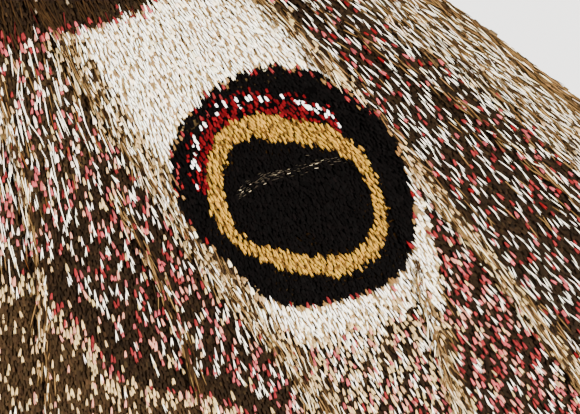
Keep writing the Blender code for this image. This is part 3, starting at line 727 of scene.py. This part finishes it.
def make_piece(name, points, faces, colours, spots, material, slot, replaced=()):
    """A smooth mesh of triangles or quads that rides on the body; slot is not used.

    colours holds a colour for each point and spots its place in the bake map, where it has them.
    """
    mesh = bpy.data.meshes.new(name)
    mesh.vertices.add(len(points))
    mesh.vertices.foreach_set("co", points.astype(np.float32).ravel())
    mesh.loops.add(faces.size)
    mesh.loops.foreach_set("vertex_index", faces.astype(np.int32).ravel())
    mesh.polygons.add(len(faces))
    mesh.polygons.foreach_set("loop_start", np.arange(0, faces.size, faces.shape[1], dtype=np.int32))
    mesh.update(calc_edges=True)
    mesh.shade_smooth()
    if colours is not None:
        rgba = np.ones((len(colours), 4), np.float32)
        rgba[:, :3] = np.clip(colours, 0, 1)
        layer = mesh.color_attributes.new("Colour", "FLOAT_COLOR", "POINT")
        layer.data.foreach_set("color", rgba.ravel())
    if spots is not None:
        layer = mesh.uv_layers.new(name="OFBake")
        layer.uv.foreach_set("vector", spots[faces.ravel()].astype(np.float32).ravel())
    mesh.materials.append(MATERIALS[material])
    obj = linked(name, mesh)
    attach(obj, BODY)
    if replaced:
        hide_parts(*replaced)


def set_inputs(node, values):
    for name, value in values.items():
        node.inputs[name].default_value = value


def add_node(nodes, kind, values):
    """A shader node with values for its inputs."""
    node = nodes.new("ShaderNode" + kind)
    set_inputs(node, values)
    return node


def wire(source, output, target, entry):
    """Joins one node's output to another's input."""
    source.id_data.links.new(source.outputs[output], target.inputs[entry])


def shader_material(name, roughness, specular=0.5, sheen=0.0, coat=0.0):
    """A material with a Principled shader, and its nodes."""
    material = bpy.data.materials.new(name)
    material.use_nodes = True
    nodes = material.node_tree.nodes
    shader = nodes["Principled BSDF"]
    set_inputs(shader, {"Roughness": roughness, "Specular IOR Level": specular})
    set_inputs(shader, {"Sheen Weight": sheen, "Coat Weight": coat})
    return material, nodes, shader


def grain_bump(nodes, shader, scale, strength, distance):
    """Fine procedural bump in the object's own space, from a noise."""
    place = nodes.new("ShaderNodeTexCoord")
    noise = add_node(nodes, "TexNoise", {"Scale": scale, "Detail": 3.0})
    bump = add_node(nodes, "Bump", {"Strength": strength, "Distance": distance})
    wire(place, "Object", noise, "Vector")
    wire(noise, "Fac", bump, "Height")
    wire(bump, "Normal", shader, "Normal")
    return place, noise, bump


def painted_material(name, roughness, specular, sheen, grain):
    """A material that takes its colour from the mesh, mottled by a fine noise."""
    material, nodes, shader = shader_material(name, roughness, specular, sheen)
    _, noise, _ = grain_bump(nodes, shader, grain, 0.35, 0.00002)
    colour = nodes.new("ShaderNodeAttribute")
    colour.attribute_name = "Colour"
    mottle = add_node(nodes, "MapRange", {"From Min": 0.3, "From Max": 0.7, "To Min": 0.75, "To Max": 1.125})
    mix = nodes.new("ShaderNodeVectorMath")
    mix.operation = "SCALE"
    wire(noise, "Fac", mottle, "Value")
    wire(colour, "Color", mix, 0)
    wire(mottle, "Result", mix, "Scale")
    wire(mix, "Vector", shader, "Base Color")
    return material


def eye_material():
    """Dark compound eyes, with their facets as bump."""
    material, nodes, shader = shader_material("compound_eye", 0.3, 0.2, coat=0.03)
    place, noise, bump = grain_bump(nodes, shader, 1500.0, 0.2, 0.00001)
    tint = nodes.new("ShaderNodeValToRGB")
    stops = ((0.35, srgb(14, 8, 5)), (0.65, srgb(32, 19, 11)))
    for element, (position, colour) in zip(tint.color_ramp.elements, stops):
        element.position = position
        element.color = (*colour, 1)
    cells = add_node(nodes, "TexVoronoi", {"Scale": EYE_FACETS})
    facets = add_node(nodes, "Bump", {"Strength": 0.5, "Distance": 0.00002})
    facets.invert = True
    wire(noise, "Fac", tint, "Fac")
    wire(tint, "Color", shader, "Base Color")
    wire(place, "Object", cells, "Vector")
    wire(cells, "Distance", facets, "Height")
    wire(bump, "Normal", facets, "Normal")
    wire(facets, "Normal", shader, "Normal")
    return material


MATERIALS = {
    "scales": painted_material("wing_scales", 0.55, 0.04, 0.0, 9000.0),
    "membrane": painted_material("wing_membrane", 0.7, 0.01, 0.0, 4000.0),
    "fur": painted_material("fur", 0.75, 0.2, 0.1, 5000.0),
    "eye": eye_material(),
}


def strayed_colours(kinds, rng):
    """One colour for each scale, strayed from its kind's own."""
    bright = np.exp(rng.normal(0, 1, len(kinds)) * KIND_STRAYS[kinds])
    tint = 1 + rng.normal(0, 0.03, (len(kinds), 3))
    return KIND_COLOURS[kinds] * bright[:, None] * tint


def drawn_kinds(zone, draws):
    """The kind of cover scale at each root, drawn from its zone's shares."""
    kinds = np.zeros(len(zone), int)
    for index, (_, shares) in enumerate(ZONES.values()):
        here = zone == index
        steps = np.cumsum(list(shares.values()))
        picked = np.searchsorted(steps / steps[-1], draws[here])
        kinds[here] = kind_numbers(shares)[np.minimum(picked, len(shares) - 1)]
    return kinds


def lay_scales(coat, wing, points, kinds, headings, size, lift, top, coarse, rng):
    """Lays scales on one face of a wing, each with its kind's own make."""
    for number, (shape, length, width, tip_lift, droop) in enumerate(MAKES.values()):
        chosen = KIND_MAKES[kinds] == number
        count = int(chosen.sum())
        if not count:
            continue
        if coarse:
            shape = COARSE_SHAPES.get(shape, shape)
        sizes = blade_sizes(count, rng, droop, (length * size, 0.14), (width * size, 0.14), (tip_lift, 0.2))
        colours = strayed_colours(kinds[chosen], rng)
        wing.lay(coat, shape, points[chosen], headings[chosen], lift, top, sizes, colours)


def lay_coat(coat, wing, plan, larger, density, top, coarse, rng):
    """Lays ground scales and then cover scales, fanning out from the base towards the hind edge."""
    for layer in ("ground", "cover"):
        spacing, size, lift = plan[layer]
        points, draws = scatter(wing, np.array(spacing) * larger, rng, density)
        polar = np.arctan2(points[:, 1], np.maximum(points[:, 0], 0.2))
        headings = SCALE_TURN + SCALE_FAN * polar + rng.normal(0, SCALE_STRAY, len(points))
        shown = points + plan["shown"] * larger * ways(headings)[0]
        zone = zones_of(wing, shown, rng, *plan["frays"])
        kinds = GROUND_KINDS[zone] if layer == "ground" else drawn_kinds(zone, draws)
        lay_scales(coat, wing, points, kinds, headings, size * larger, lift, top, coarse, rng)


def hair_along(coat, wing, line, make, top, rng):
    """Fine hair that lies along a line on a wing."""
    per_mm, spread, length, width, on_eye, shares = make
    count = int(line_length(line) * per_mm)
    where = np.sort(rng.random(count))
    headings = headings_along(line, where, 0.02)
    points = spline(line, where) + rng.normal(0, spread, count)[:, None] * ways(headings)[1]
    headings = headings + rng.normal(0.06, 0.1, count)
    kept = inside(wing.outline, points)
    if not on_eye:
        away, angle = wing.eye_place(points)
        kept &= away > radius_at(BLACK_RADII, angle) + 0.1
    points, headings = points[kept], headings[kept]
    count = len(points)
    kinds = rng.choice(kind_numbers(shares), count, p=list(shares.values()))
    if not on_eye:
        zone = zones_of(wing, points, rng, 0.1, 0.0)
        dark = [ZONE_NAMES.index(name) for name in ("antemedian", "band_dark")]
        kinds[np.isin(zone, dark)] = kind_numbers(["brown hair"])[0]
    sizes = blade_sizes(count, rng, 0.03, (length, 0.2), (width, 0.15), (0.08, 0.2))
    wing.lay(coat, "HAIR", points, headings, 0.08, top, sizes, strayed_colours(kinds, rng))


def fringe(name, wing, rng):
    """The long scales that stand out from a wing's outer and hind edges."""
    coat = Coat(f"{name}_fringe", "scales", wing.slot)
    for line, length in ((wing.rim, 0.75), (wing.table[-1][::-1], 0.9)):
        total = line_length(line)
        count = int(total * FRINGE_PER_MM)
        where = rng.random(count)
        headings = headings_along(line, where, 0.01) - math.pi / 2 + rng.normal(0, 0.16, count)
        points = spline(line, where) - 0.15 * ways(headings)[0]
        along, up = wing.frame_at(points, headings)
        up = up * np.where(rng.random(count) < 0.5, 1.0, -1.0)[:, None]
        height = np.full(count, MEMBRANE_LIFT) + rng.uniform(-0.04, 0.04, count)
        sizes = blade_sizes(count, rng, 0.03, (length, 0.15), (0.09, 0.2), (0.05, 0.3))
        pair = (where * total / FRINGE_STRETCH).astype(int) % 2
        kinds = kind_numbers(FRINGE_KINDS)[pair * 2 + (rng.random(count) < 0.5)]
        colours = strayed_colours(kinds, rng)
        coat.add("NEEDLE", wing.world(points, height), along, up, sizes, colours, wing.patch(points))
    coat.finish()


def membrane(name, wing):
    """The wing's own thin sheet, its veins raised in both faces, in place of the solid plate."""
    across = np.linspace(0, 1, 9 * (len(wing.table) - 1) + 1)
    points = np.concatenate([spline(wing.table[:, i], across) for i in range(LINE_STEPS)])
    half = MEMBRANE_THICKNESS / 2 + wing.height(points)
    both = np.concatenate([wing.world(points, MEMBRANE_LIFT + offset) for offset in (half, -half)])
    count = len(points)
    index = np.arange(count).reshape(LINE_STEPS, len(across))
    corners = [index[:-1, :-1], index[:-1, 1:], index[1:, 1:], index[1:, :-1]]
    top = np.stack(corners, axis=-1).reshape(-1, 4)
    rim = np.concatenate([index[0, :-1], index[:-1, -1], index[-1, :0:-1], index[:0:-1, 0]])
    after = np.roll(rim, -1)
    sides = np.stack([rim, rim + count, after + count, after], axis=-1)
    faces = np.concatenate([top, top[:, ::-1] + count, sides])
    if wing.side > 0:
        faces = faces[:, ::-1]
    zone = zones_of(wing, points, np.random.default_rng(SEED), 0.0, 0.0)
    # Painted shade: the membrane is darkened to 0.4 of its ground scales' colour, as the deep shade between
    # the scales.
    colours = KIND_COLOURS[GROUND_KINDS[zone]] * MEMBRANE_PAINTED_SHADE
    spots = wing.patch(points) * [0.49, 1]
    spots = np.concatenate([spots, spots + [0.5, 0]])
    colours = np.concatenate([colours, colours])
    make_piece(f"membrane_{name}", both, faces, colours, spots, "membrane", wing.slot, [name])


def dress_wing(name, shape, marks, side, slot, in_photo):
    """A wing's membrane, the scales and hair on both its faces and its fringe."""
    wing = Wing(shape, marks, side, slot, in_photo)
    rng = np.random.default_rng(SEED + sum(map(ord, name)))
    membrane(name, wing)

    def coarse_at(points):
        return ~wing.fine_at(points)

    for face, density, larger, hair in (
        ("upper", coarse_at, 1.0, VEIN_HAIR),
        ("under", None, UNDER_LARGER, UNDER_HAIR),
    ):
        top = face == "upper"
        coat = Coat(f"{name}_{face}_coat", "scales", slot)
        lay_coat(coat, wing, COARSE, larger, density, top, True, rng)
        for line in wing.veins[:-1]:
            hair_along(coat, wing, line, hair, top, rng)
        coat.finish()
    fringe(name, wing, rng)
    coat = Coat(f"{name}_fine_coat", "scales", slot)
    lay_coat(coat, wing, FINE, 1.0 if in_photo else EYE_LARGER, wing.fine_at, True, not in_photo, rng)
    lune = np.array([wing.eye_point(px) for px in LUNE_PX])
    hair_along(coat, wing, lune, LUNE_HAIR, True, rng)
    coat.finish()
    return wing


def body_ring(ys):
    """Half width, half height and middle height of the body's skin at places along y."""
    table = spline(BODY_SECTIONS, np.linspace(0, 1, 400))
    return tuple(np.interp(ys, table[:, 0], table[:, i]) for i in (1, 2, 3))


def body_surface(ys, angles):
    """Points of the body's skin, their outward normals and the way back along it."""
    def at(y):
        half_width, half_height, middle = body_ring(y)
        return np.stack([half_width * np.cos(angles), y, middle + half_height * np.sin(angles)], axis=1)

    here = at(ys)
    back = unit(at(ys + 0.05) - here)
    half_width, half_height, _ = body_ring(ys)
    across = [-half_width * np.sin(angles), np.zeros(len(ys)), half_height * np.cos(angles)]
    return here, unit(np.cross(back, np.stack(across, axis=1))), back


def body_colour(ys, angles, rng):
    """The fur's colour: warm face, cream collar, brown thorax with grey sides, ringed abdomen."""
    brown, grey, cream = srgb(84, 62, 47), srgb(140, 125, 109), srgb(208, 194, 170)
    wave = ys + rng.normal(0, 0.16, len(ys))
    on_abdomen = wave > ABDOMEN_START
    ring = ((wave - ABDOMEN_START) / ABDOMEN_RING) % 1
    colours = np.tile(brown, (len(ys), 1))
    for where, colour in (
        ((wave > -3.3) & (wave < ABDOMEN_START) & (np.abs(np.cos(angles)) > 0.6), grey),
        ((wave > -4.9) & (wave < -3.5), cream),
        (wave < -4.9, srgb(118, 83, 68)),
        (wave < -6.9, srgb(138, 101, 84)),
        (on_abdomen, srgb(97, 78, 63)),
        (on_abdomen & (ring > 0.6), cream * 0.92),
        (on_abdomen & (ring < 0.14), srgb(58, 42, 32)),
    ):
        colours[where] = colour
    under = np.clip(-np.sin(angles) * 1.6 - 0.4, 0, 1)[:, None]
    colours = colours * (1 - under) + grey * under
    mix = rng.random(len(ys))
    colours[mix < 0.1] = srgb(62, 45, 34)
    colours[mix > 0.9] = cream * 0.9
    return colours * np.exp(rng.normal(0, 0.2, len(ys)))[:, None]


def body_skin():
    """One skin for head, thorax and abdomen, under the fur."""
    first, last = BODY_SECTIONS[0], BODY_SECTIONS[-1]
    ys = np.linspace(first[0], last[0], SKIN_STEPS)
    angles = np.linspace(0, 2 * math.pi, SKIN_AROUND, endpoint=False)
    grid_y, grid_angle = (part.ravel() for part in np.meshgrid(ys, angles, indexing="ij"))
    ends = [[0, first[0] - 0.1, first[3]], [0, last[0] + 0.1, last[3]]]
    points = placed(np.concatenate([body_surface(grid_y, grid_angle)[0], ends]))
    faces = tube_faces(SKIN_STEPS, SKIN_AROUND)[:, ::-1]
    # Painted shade: the skin is the fur's colour darkened to 0.55, as shade under the hairs.
    colours = body_colour(grid_y, grid_angle, np.random.default_rng(SEED)) * SKIN_PAINTED_SHADE
    colours = np.concatenate([colours, colours[[0, -1]]])
    make_piece("body_skin", points, faces, colours, None, "fur", "fur", ["head", "thorax", "abdomen"])


def body_fur():
    """The coat: long on the thorax, shorter on the abdomen, shortest on the face, in soft tufts."""
    rng = np.random.default_rng(SEED + 1)
    ys = rng.uniform(*COAT_ENDS, COAT_COUNT)
    angles = rng.uniform(0, 2 * math.pi, COAT_COUNT)
    half_width, half_height, _ = body_ring(ys)
    thinner = np.where(np.sin(angles) < -0.3, BELLY_SHARE, 1.0)
    keep = rng.random(COAT_COUNT) < (half_width + half_height) / 6.4 * thinner
    keep &= ~((np.abs(ys - EYE_CENTRE[1]) < EYE_RADIUS) & (np.abs(np.cos(angles)) > 0.72))
    ys, angles = ys[keep], angles[keep]
    count = len(ys)
    tuft = 1 + 0.16 * np.sin(ys * 5.1 + 3 * np.sin(angles * 4)) * np.cos(angles * 11)
    length = np.interp(ys, COAT[:, 0], COAT[:, 1]) * varied(count, 1.0, 0.2, rng) * tuft
    width = varied(count, COAT_WIDTH, 0.2, rng) * np.interp(ys, [-8.2, -5.0, 20.0], [0.7, 1.0, 1.0])
    stand = np.interp(ys, COAT[:, 0], COAT[:, 2]) * varied(count, 1.0, 0.25, rng)
    lay_fur(ys, angles, length, width, stand, rng)


def lay_fur(ys, angles, length, width, stand, rng):
    """Hairs on the body that lie back along it, and on the face forwards in a tuft."""
    roots, normal, back = body_surface(ys, angles)
    face = np.clip((FACE_START - ys) / 0.9, 0, 1)[:, None]
    way = unit(back * (1 - face) + np.array(FACE_WAY) * face)
    sway = np.cross(normal, way) * rng.normal(0, 0.2, len(ys))[:, None]
    along = unit(way + sway + normal * stand[:, None])
    up = np.cross(along, unit(np.cross(normal, along)))
    colours = body_colour(ys, angles, rng)
    low, high = BODY_SECTIONS[0][0] - 1, BODY_SECTIONS[-1][0] + 1
    turns = (angles % (2 * math.pi)) / (2 * math.pi)
    patches = 0.02 + 0.76 * np.stack([(ys - low) / (high - low), turns], axis=1)
    sizes = (length * MM, width * MM, 0 * length, length * FUR_DROOP * MM)
    coat = Coat("body_fur", "fur", "fur")
    coat.add("HAIR", placed(roots), along, up, sizes, colours, patches)
    coat.finish()


def tube_round(ahead, angles, radii, shares):
    """The ways out of a tube at angles round it, and its radii at shares of its length."""
    side = unit(np.cross(ahead, [0.0, 0.0, 1.0]))
    spokes = np.cos(angles)[..., None] * side + np.sin(angles)[..., None] * np.cross(side, ahead)
    return spokes, np.interp(shares * (len(radii) - 1), np.arange(len(radii)), radii)


def tube_rings(path, radii, steps, around):
    """Rings of points round a smooth path."""
    shares = np.linspace(0, 1, steps)
    middles = spline(path, shares)[:, None]
    angles = np.linspace(0, 2 * math.pi, around, endpoint=False)[None]
    spokes, radius = tube_round(unit(np.gradient(middles, axis=0)), angles, radii, shares)
    return middles + spokes * radius[:, None, None]


def tube_faces(steps, around):
    """Triangles of a tube whose rings and two end points are stored one after the other."""
    index = np.arange(steps * around).reshape(steps, around)
    beside = np.roll(index, -1, axis=1)
    first = np.full(around, steps * around)
    return np.concatenate([np.stack(corners, axis=-1).reshape(-1, 3) for corners in (
        (index[:-1], beside[:-1], beside[1:]),
        (index[:-1], beside[1:], index[1:]),
        (first, beside[0], index[0]),
        (first + 1, index[-1], beside[-1]),
    )])


class Tubes:
    """Tubes gathered into one mesh, at one spot of its bake map."""

    def __init__(self, spot):
        self.spot = spot
        self.blocks = []

    def add(self, path, radii, steps, around, colour):
        rings = tube_rings(path, radii, steps, around)
        points = np.concatenate([rings.reshape(-1, 3), rings.mean(axis=1)[[0, -1]]])
        turn = np.concatenate([np.tile(np.arange(around) / around, steps), [0.5, 0.5]])
        along = np.concatenate([np.repeat(np.arange(steps) / steps, around), [0.0, 1.0]])
        spots = np.array(self.spot) + np.stack([turn, along], axis=1) * TUBE_PATCH
        colours = np.tile(colour, (len(points), 1))
        self.blocks.append((placed(points)[None], colours[None], spots[None], tube_faces(steps, around)))

    def finish(self, name, slot, replaced=()):
        make_piece(name, *joined(self.blocks), "fur", slot, replaced)


def tube_fur(coat, path, radii, make, colours, rng, spot, shorter=0.0):
    """Hairs all round a tube that lie towards its tip, shorter there by a share.

    make holds hairs per mm, their length, their width and how far they stand off.
    """
    per_mm, length, width, stand = make
    count = int(line_length(path) * per_mm)
    shares, angles = rng.random(count), rng.uniform(0, 2 * math.pi, count)
    ahead = unit(way_along(path, shares, 0.02))
    spokes, radius = tube_round(ahead, angles, radii, shares)
    roots = spline(path, shares) + spokes * radius[:, None] * 0.96
    along = unit(ahead + spokes * stand + rng.normal(0, 0.12, ahead.shape))
    up = unit(np.cross(along, np.cross(spokes, along)))
    grown = varied(count, length, 0.22, rng) * (1 - shorter * np.clip(4 * shares - 3, 0, 1))
    low = roots[:, 2] + along[:, 2] * grown < 0.1
    along[low, 2] = np.maximum(along[low, 2], 0.0)
    sizes = (grown * MM, varied(count, width, 0.2, rng) * MM, np.zeros(count), grown * 0.12 * MM)
    chosen = colours[rng.integers(0, len(colours), count)] * np.exp(rng.normal(0, 0.15, count))[:, None]
    patches = np.array(spot) + np.stack([angles / (2 * math.pi), shares], axis=1) * TUBE_PATCH
    coat.add("HAIR", placed(roots), along, up, sizes, chosen, patches)


# Legs: hip, knee, ankle and toe. A part has its radii, its hair and how much shorter that gets.
LEGS = {
    "front": [(1.4, -3.0, 3.0), (4.2, -6.2, 3.3), (6.0, -8.4, 0.9), (7.3, -11.2, 0.2)],
    "middle": [(1.8, -0.2, 3.0), (6.3, 0.0, 3.1), (9.6, 0.9, 0.9), (12.8, 1.8, 0.2)],
    "hind": [(1.6, 2.2, 3.0), (6.0, 6.2, 2.7), (8.4, 10.4, 0.8), (9.8, 14.4, 0.2)],
}
THIGH = ([0.42, 0.5, 0.4, 0.24], (420, 1.05, 0.075, 0.35), 0.6)
SHIN = ([0.24, 0.33, 0.28, 0.2], (380, 0.75, 0.06, 0.3), 0.4)
FOOT_RADII = [0.13, 0.17, 0.2, 0.13]
FOOT_HAIR = (300, 0.2, 0.05, 0.22)
FOOT_START = 0.35
FOOT_JOINTS = 5
FOOT_HEIGHT = 0.26
CLAW_RADII = [0.08, 0.06, 0.012]
PAD_RADII = [0.09, 0.13, 0.05]
LEG_SKIN = srgb(70, 48, 36)
LEG_COLOURS = np.array([srgb(82, 62, 48), srgb(112, 90, 73), srgb(156, 132, 109), srgb(132, 79, 71)])


def leg(name, joints, side, spot):
    """A leg of furred thigh and shin and a jointed foot with two claws and a pad."""
    rng = np.random.default_rng(SEED + sum(map(ord, name)))
    hip, knee, ankle, toe = (np.array(joint) * [side, 1, 1] for joint in joints)
    thigh = [hip, (hip + knee) / 2 + [0, 0, 0.08], knee]
    shin = [knee, (knee + ankle) / 2 + [0, 0, 0.06], ankle]
    tubes = Tubes(spot)
    tubes.add(thigh, THIGH[0], 14, 12, LEG_SKIN)
    tubes.add(shin, SHIN[0], 14, 12, LEG_SKIN)
    flat = ankle + (toe - ankle) * FOOT_START
    flat[2] = toe[2] = FOOT_HEIGHT
    start = ankle * 0.35 + flat * 0.65
    start[2] = ankle[2] * 0.4 + FOOT_HEIGHT * 0.6
    stretch = [ankle, start] + [flat + (toe - flat) * i / FOOT_JOINTS for i in range(1, FOOT_JOINTS + 1)]
    joints = list(zip(stretch[:-1], stretch[1:]))
    for a, b in joints:
        tubes.add([a, a * 0.3 + b * 0.7, b], FOOT_RADII, 8, 10, LEG_SKIN * 0.9)
    forward = unit(toe - flat)
    across = unit(np.cross(forward, [0, 0, 1]))
    for turn in (-1, 1):
        bend = toe + forward * 0.3 + across * turn * 0.16 + [0, 0, 0.05]
        tip = toe + forward * 0.52 + across * turn * 0.24 + [0, 0, -0.2]
        tubes.add([toe, bend, tip], CLAW_RADII, 8, 8, srgb(40, 24, 16))
    tubes.add([toe, toe + forward * 0.16, toe + forward * 0.3], PAD_RADII, 6, 10, LEG_SKIN)
    tubes.finish(f"skin_{name}", "leg", [name])
    coat = Coat(f"{name}_coat", "fur", "leg")
    for path, (radii, hair, shorter) in ((thigh, THIGH), (shin, SHIN)):
        tube_fur(coat, path, radii, hair, LEG_COLOURS, rng, spot, shorter)
    for joint in joints:
        tube_fur(coat, joint, [0.16, 0.18], FOOT_HAIR, LEG_COLOURS[:3] * 0.8, rng, spot)
    coat.finish()


FEELER_PATH = [(0.7, -6.7, 5.2), (1.5, -7.9, 6.3), (3.2, -9.4, 6.7), (5.5, -10.7, 6.5), (8.0, -11.4, 5.9)]
FEELER_BUMPS = 60
FEELER_RINGS = 30
FEELER_BRANCH = 1.0


def feeler(name, side, spot):
    """A ringed feeler with a fine comb on both sides, two teeth to each ring."""
    path = np.array(FEELER_PATH) * [side, 1, 1]
    radii = [0.2 - 0.12 * i / FEELER_BUMPS + 0.025 * (i % 2) for i in range(FEELER_BUMPS + 1)]
    tubes = Tubes(spot)
    tubes.add(spline(path, np.linspace(0, 0.07, 4)), [0.3, 0.34, 0.26], 8, 12, srgb(168, 149, 121))
    tubes.add(path, radii, 150, 10, srgb(128, 90, 51))
    for share in 0.07 + 0.9 * np.arange(FEELER_RINGS) / (FEELER_RINGS - 1):
        root = spline(path, [share])[0]
        along = unit(way_along(path, np.array([share]), 0.02)[0])
        across = unit(np.cross(along, [0, 0, 1]))
        length = FEELER_BRANCH * math.sin(math.pi * (0.2 + 0.66 * share))
        for turn in (-1, 1):
            for lean in (0.25, 0.6):
                out = unit(across * turn + along * lean + [0, 0, -0.12])
                middle = root + out * length * 0.55 + [0, 0, 0.03]
                tooth = [root, middle, root + out * length]
                tubes.add(tooth, [0.05, 0.045, 0.03], 5, 6, srgb(70, 46, 26))
    tubes.finish(f"comb_{name}", "feeler", [name])


# Palps, tufts over the forewings' roots and the tuft that hides the snout: path, radii and hair.
PALP = [(0.55, -7.3, 3.4), (0.68, -8.2, 3.15), (0.7, -8.8, 2.85)]
PALP_RADII = [0.3, 0.26, 0.14]
PALP_HAIR = (420, 0.5, 0.05, 0.35)
TUFT = [(2.3, -2.9, 5.9), (3.2, -1.6, 6.55), (4.1, 0.2, 6.65), (4.9, 1.8, 6.5)]
TUFT_RADII = [0.6, 0.75, 0.5, 0.1]
TUFT_HAIR = (900, 1.5, 0.07, 0.22)
MUZZLE = [(0.0, -7.75, 4.75), (0.0, -8.05, 4.15), (0.0, -7.95, 3.5), (0.0, -7.55, 3.1)]
MUZZLE_RADII = [0.3, 0.42, 0.4, 0.15]
MUZZLE_HAIR = (260, 0.5, 0.05, 0.25)


def palps_and_tufts():
    """The two palps, the tuft over the snout and the long tufts over the forewings' roots."""
    rng = np.random.default_rng(SEED + 3)
    face = np.array([srgb(123, 87, 72), srgb(166, 136, 113), srgb(90, 64, 50)])
    shoulder = np.array([srgb(192, 178, 158), srgb(142, 121, 102), srgb(103, 82, 67), srgb(175, 145, 131)])
    palp_spot, tuft_spot, muzzle_spot = (0.1, 0.85), (0.3, 0.85), (0.55, 0.85)
    for side, word in SIDES:
        palp, tuft = np.array(PALP) * [side, 1, 1], np.array(TUFT) * [side, 1, 1]
        muzzle = np.array(MUZZLE) + [0.12 * side, 0, 0]
        # Painted shade: the cores of the palp and the tuft under their hair are darker copies of the hair's
        # own colours.
        tubes = Tubes(palp_spot)
        tubes.add(palp, PALP_RADII, 8, 10, face[2] * 0.6)
        tubes.finish(f"palp_{word}", "fur")
        tubes = Tubes(tuft_spot)
        tubes.add(tuft, TUFT_RADII, 16, 14, shoulder[2] * 0.7)
        tubes.finish(f"shoulder_{word}", "fur")
        coat = Coat(f"head_and_shoulder_coat_{word}", "fur", "fur")
        tube_fur(coat, palp, PALP_RADII, PALP_HAIR, face, rng, palp_spot)
        tube_fur(coat, tuft, TUFT_RADII, TUFT_HAIR, shoulder, rng, tuft_spot)
        tube_fur(coat, muzzle, MUZZLE_RADII, MUZZLE_HAIR, face, rng, muzzle_spot)
        coat.finish()


def eyes():
    """The two compound eyes, as smooth balls."""
    lean = np.linspace(0, math.pi, EYE_STEPS + 2)[1:-1, None]
    spin = np.linspace(0, 2 * math.pi, EYE_AROUND, endpoint=False)[None]
    rings = [-np.cos(lean) + 0 * spin, -np.sin(lean) * np.cos(spin), np.sin(lean) * np.sin(spin)]
    rings = np.stack(rings, axis=-1).reshape(-1, 3)
    ball = np.concatenate([rings, [[-1, 0, 0], [1, 0, 0]]]) * EYE_RADIUS
    faces = tube_faces(EYE_STEPS, EYE_AROUND)
    for side, word in SIDES:
        points = placed(ball + np.array(EYE_CENTRE) * [side, 1, 1])
        make_piece(f"compound_eye_{word}", points, faces, None, None, "eye", "eye", [f"eye_{word}"])


# Floor and lights in metres: each lamp's name, place, size and power.
FLOOR_SIZE = 4.0
FLOOR_COLOUR = (0.57, 0.575, 0.6, 1)
WORLD_STRENGTH = 0.15
LIGHT_COLOUR = (1.0, 0.965, 0.89)
LAMPS = (
    ("key", (-0.26, -0.2, 0.26), 0.11, 12.6),
    ("fill", (0.3, -0.1, 0.26), 0.3, 1.1),
    ("back", (0.05, 0.34, 0.24), 0.24, 1.3),
)


def floor_and_light():
    bpy.ops.mesh.primitive_plane_add(size=FLOOR_SIZE)
    floor = bpy.context.object
    floor.name = "floor"
    material, _, shader = shader_material("pale_floor", 0.7)
    set_inputs(shader, {"Base Color": FLOOR_COLOUR})
    floor.data.materials.append(material)
    world = bpy.data.worlds.new("studio")
    bpy.context.scene.world = world
    world.use_nodes = True
    set_inputs(world.node_tree.nodes["Background"], {"Color": (1, 1, 1, 1), "Strength": WORLD_STRENGTH})
    for name, spot, size, power in LAMPS:
        light = bpy.data.lights.new(name, "AREA")
        light.color = LIGHT_COLOUR
        light.energy = power
        light.size = size
        lamp = linked(name, light)
        lamp.location = spot
        lamp.rotation_euler = (-Vector(spot)).to_track_quat("-Z", "Y").to_euler()


def photo_camera(wing):
    """Looks square down on the right forewing, in the photo's framing."""
    middle = VIEW_MIDDLE[None]
    here = wing.world(middle, SCALE_TOPS)[0]
    out, back = (wing.frame_at(middle, np.array([heading]))[0][0] for heading in (0.0, math.pi / 2))
    right = math.cos(LEADING_EDGE_TURN) * out - math.sin(LEADING_EDGE_TURN) * back
    up = -math.sin(LEADING_EDGE_TURN) * out - math.cos(LEADING_EDGE_TURN) * back
    away = unit(np.cross(right, up))
    up = np.cross(away, right)
    distance = PHOTO_WIDTH / PHOTO_PX_PER_MM * MM * LENS / SENSOR
    data = bpy.data.cameras.new("photo_camera")
    data.lens = LENS
    data.sensor_width = SENSOR
    data.clip_start = 0.001
    data.clip_end = 10.0
    camera = linked("photo_camera", data)
    place = Matrix(np.stack([right, up, away], axis=1).tolist()).to_4x4()
    place.translation = Vector(here + away * distance)
    camera.matrix_world = place
    bpy.context.scene.camera = camera


# The right side comes last, so that the camera is given the right forewing.
for side, word in SIDES:
    forewing = dress_wing(f"forewing_{word}", FOREWING, FOREWING_MARKS, side, "forewing", side < 0)
    dress_wing(f"hindwing_{word}", HINDWING, HINDWING_MARKS, side, "hindwing", False)
    feeler(f"antenna_{word}", side, (0.8, 0.02 if side > 0 else 0.2))
    for number, (pair, joints) in enumerate(LEGS.items()):
        leg(f"leg_{pair}_{word}", joints, side, (0.05 + 0.2 * number, 0.1 if side > 0 else 0.3))
body_skin()
body_fur()
palps_and_tufts()
eyes()
floor_and_light()
photo_camera(forewing)
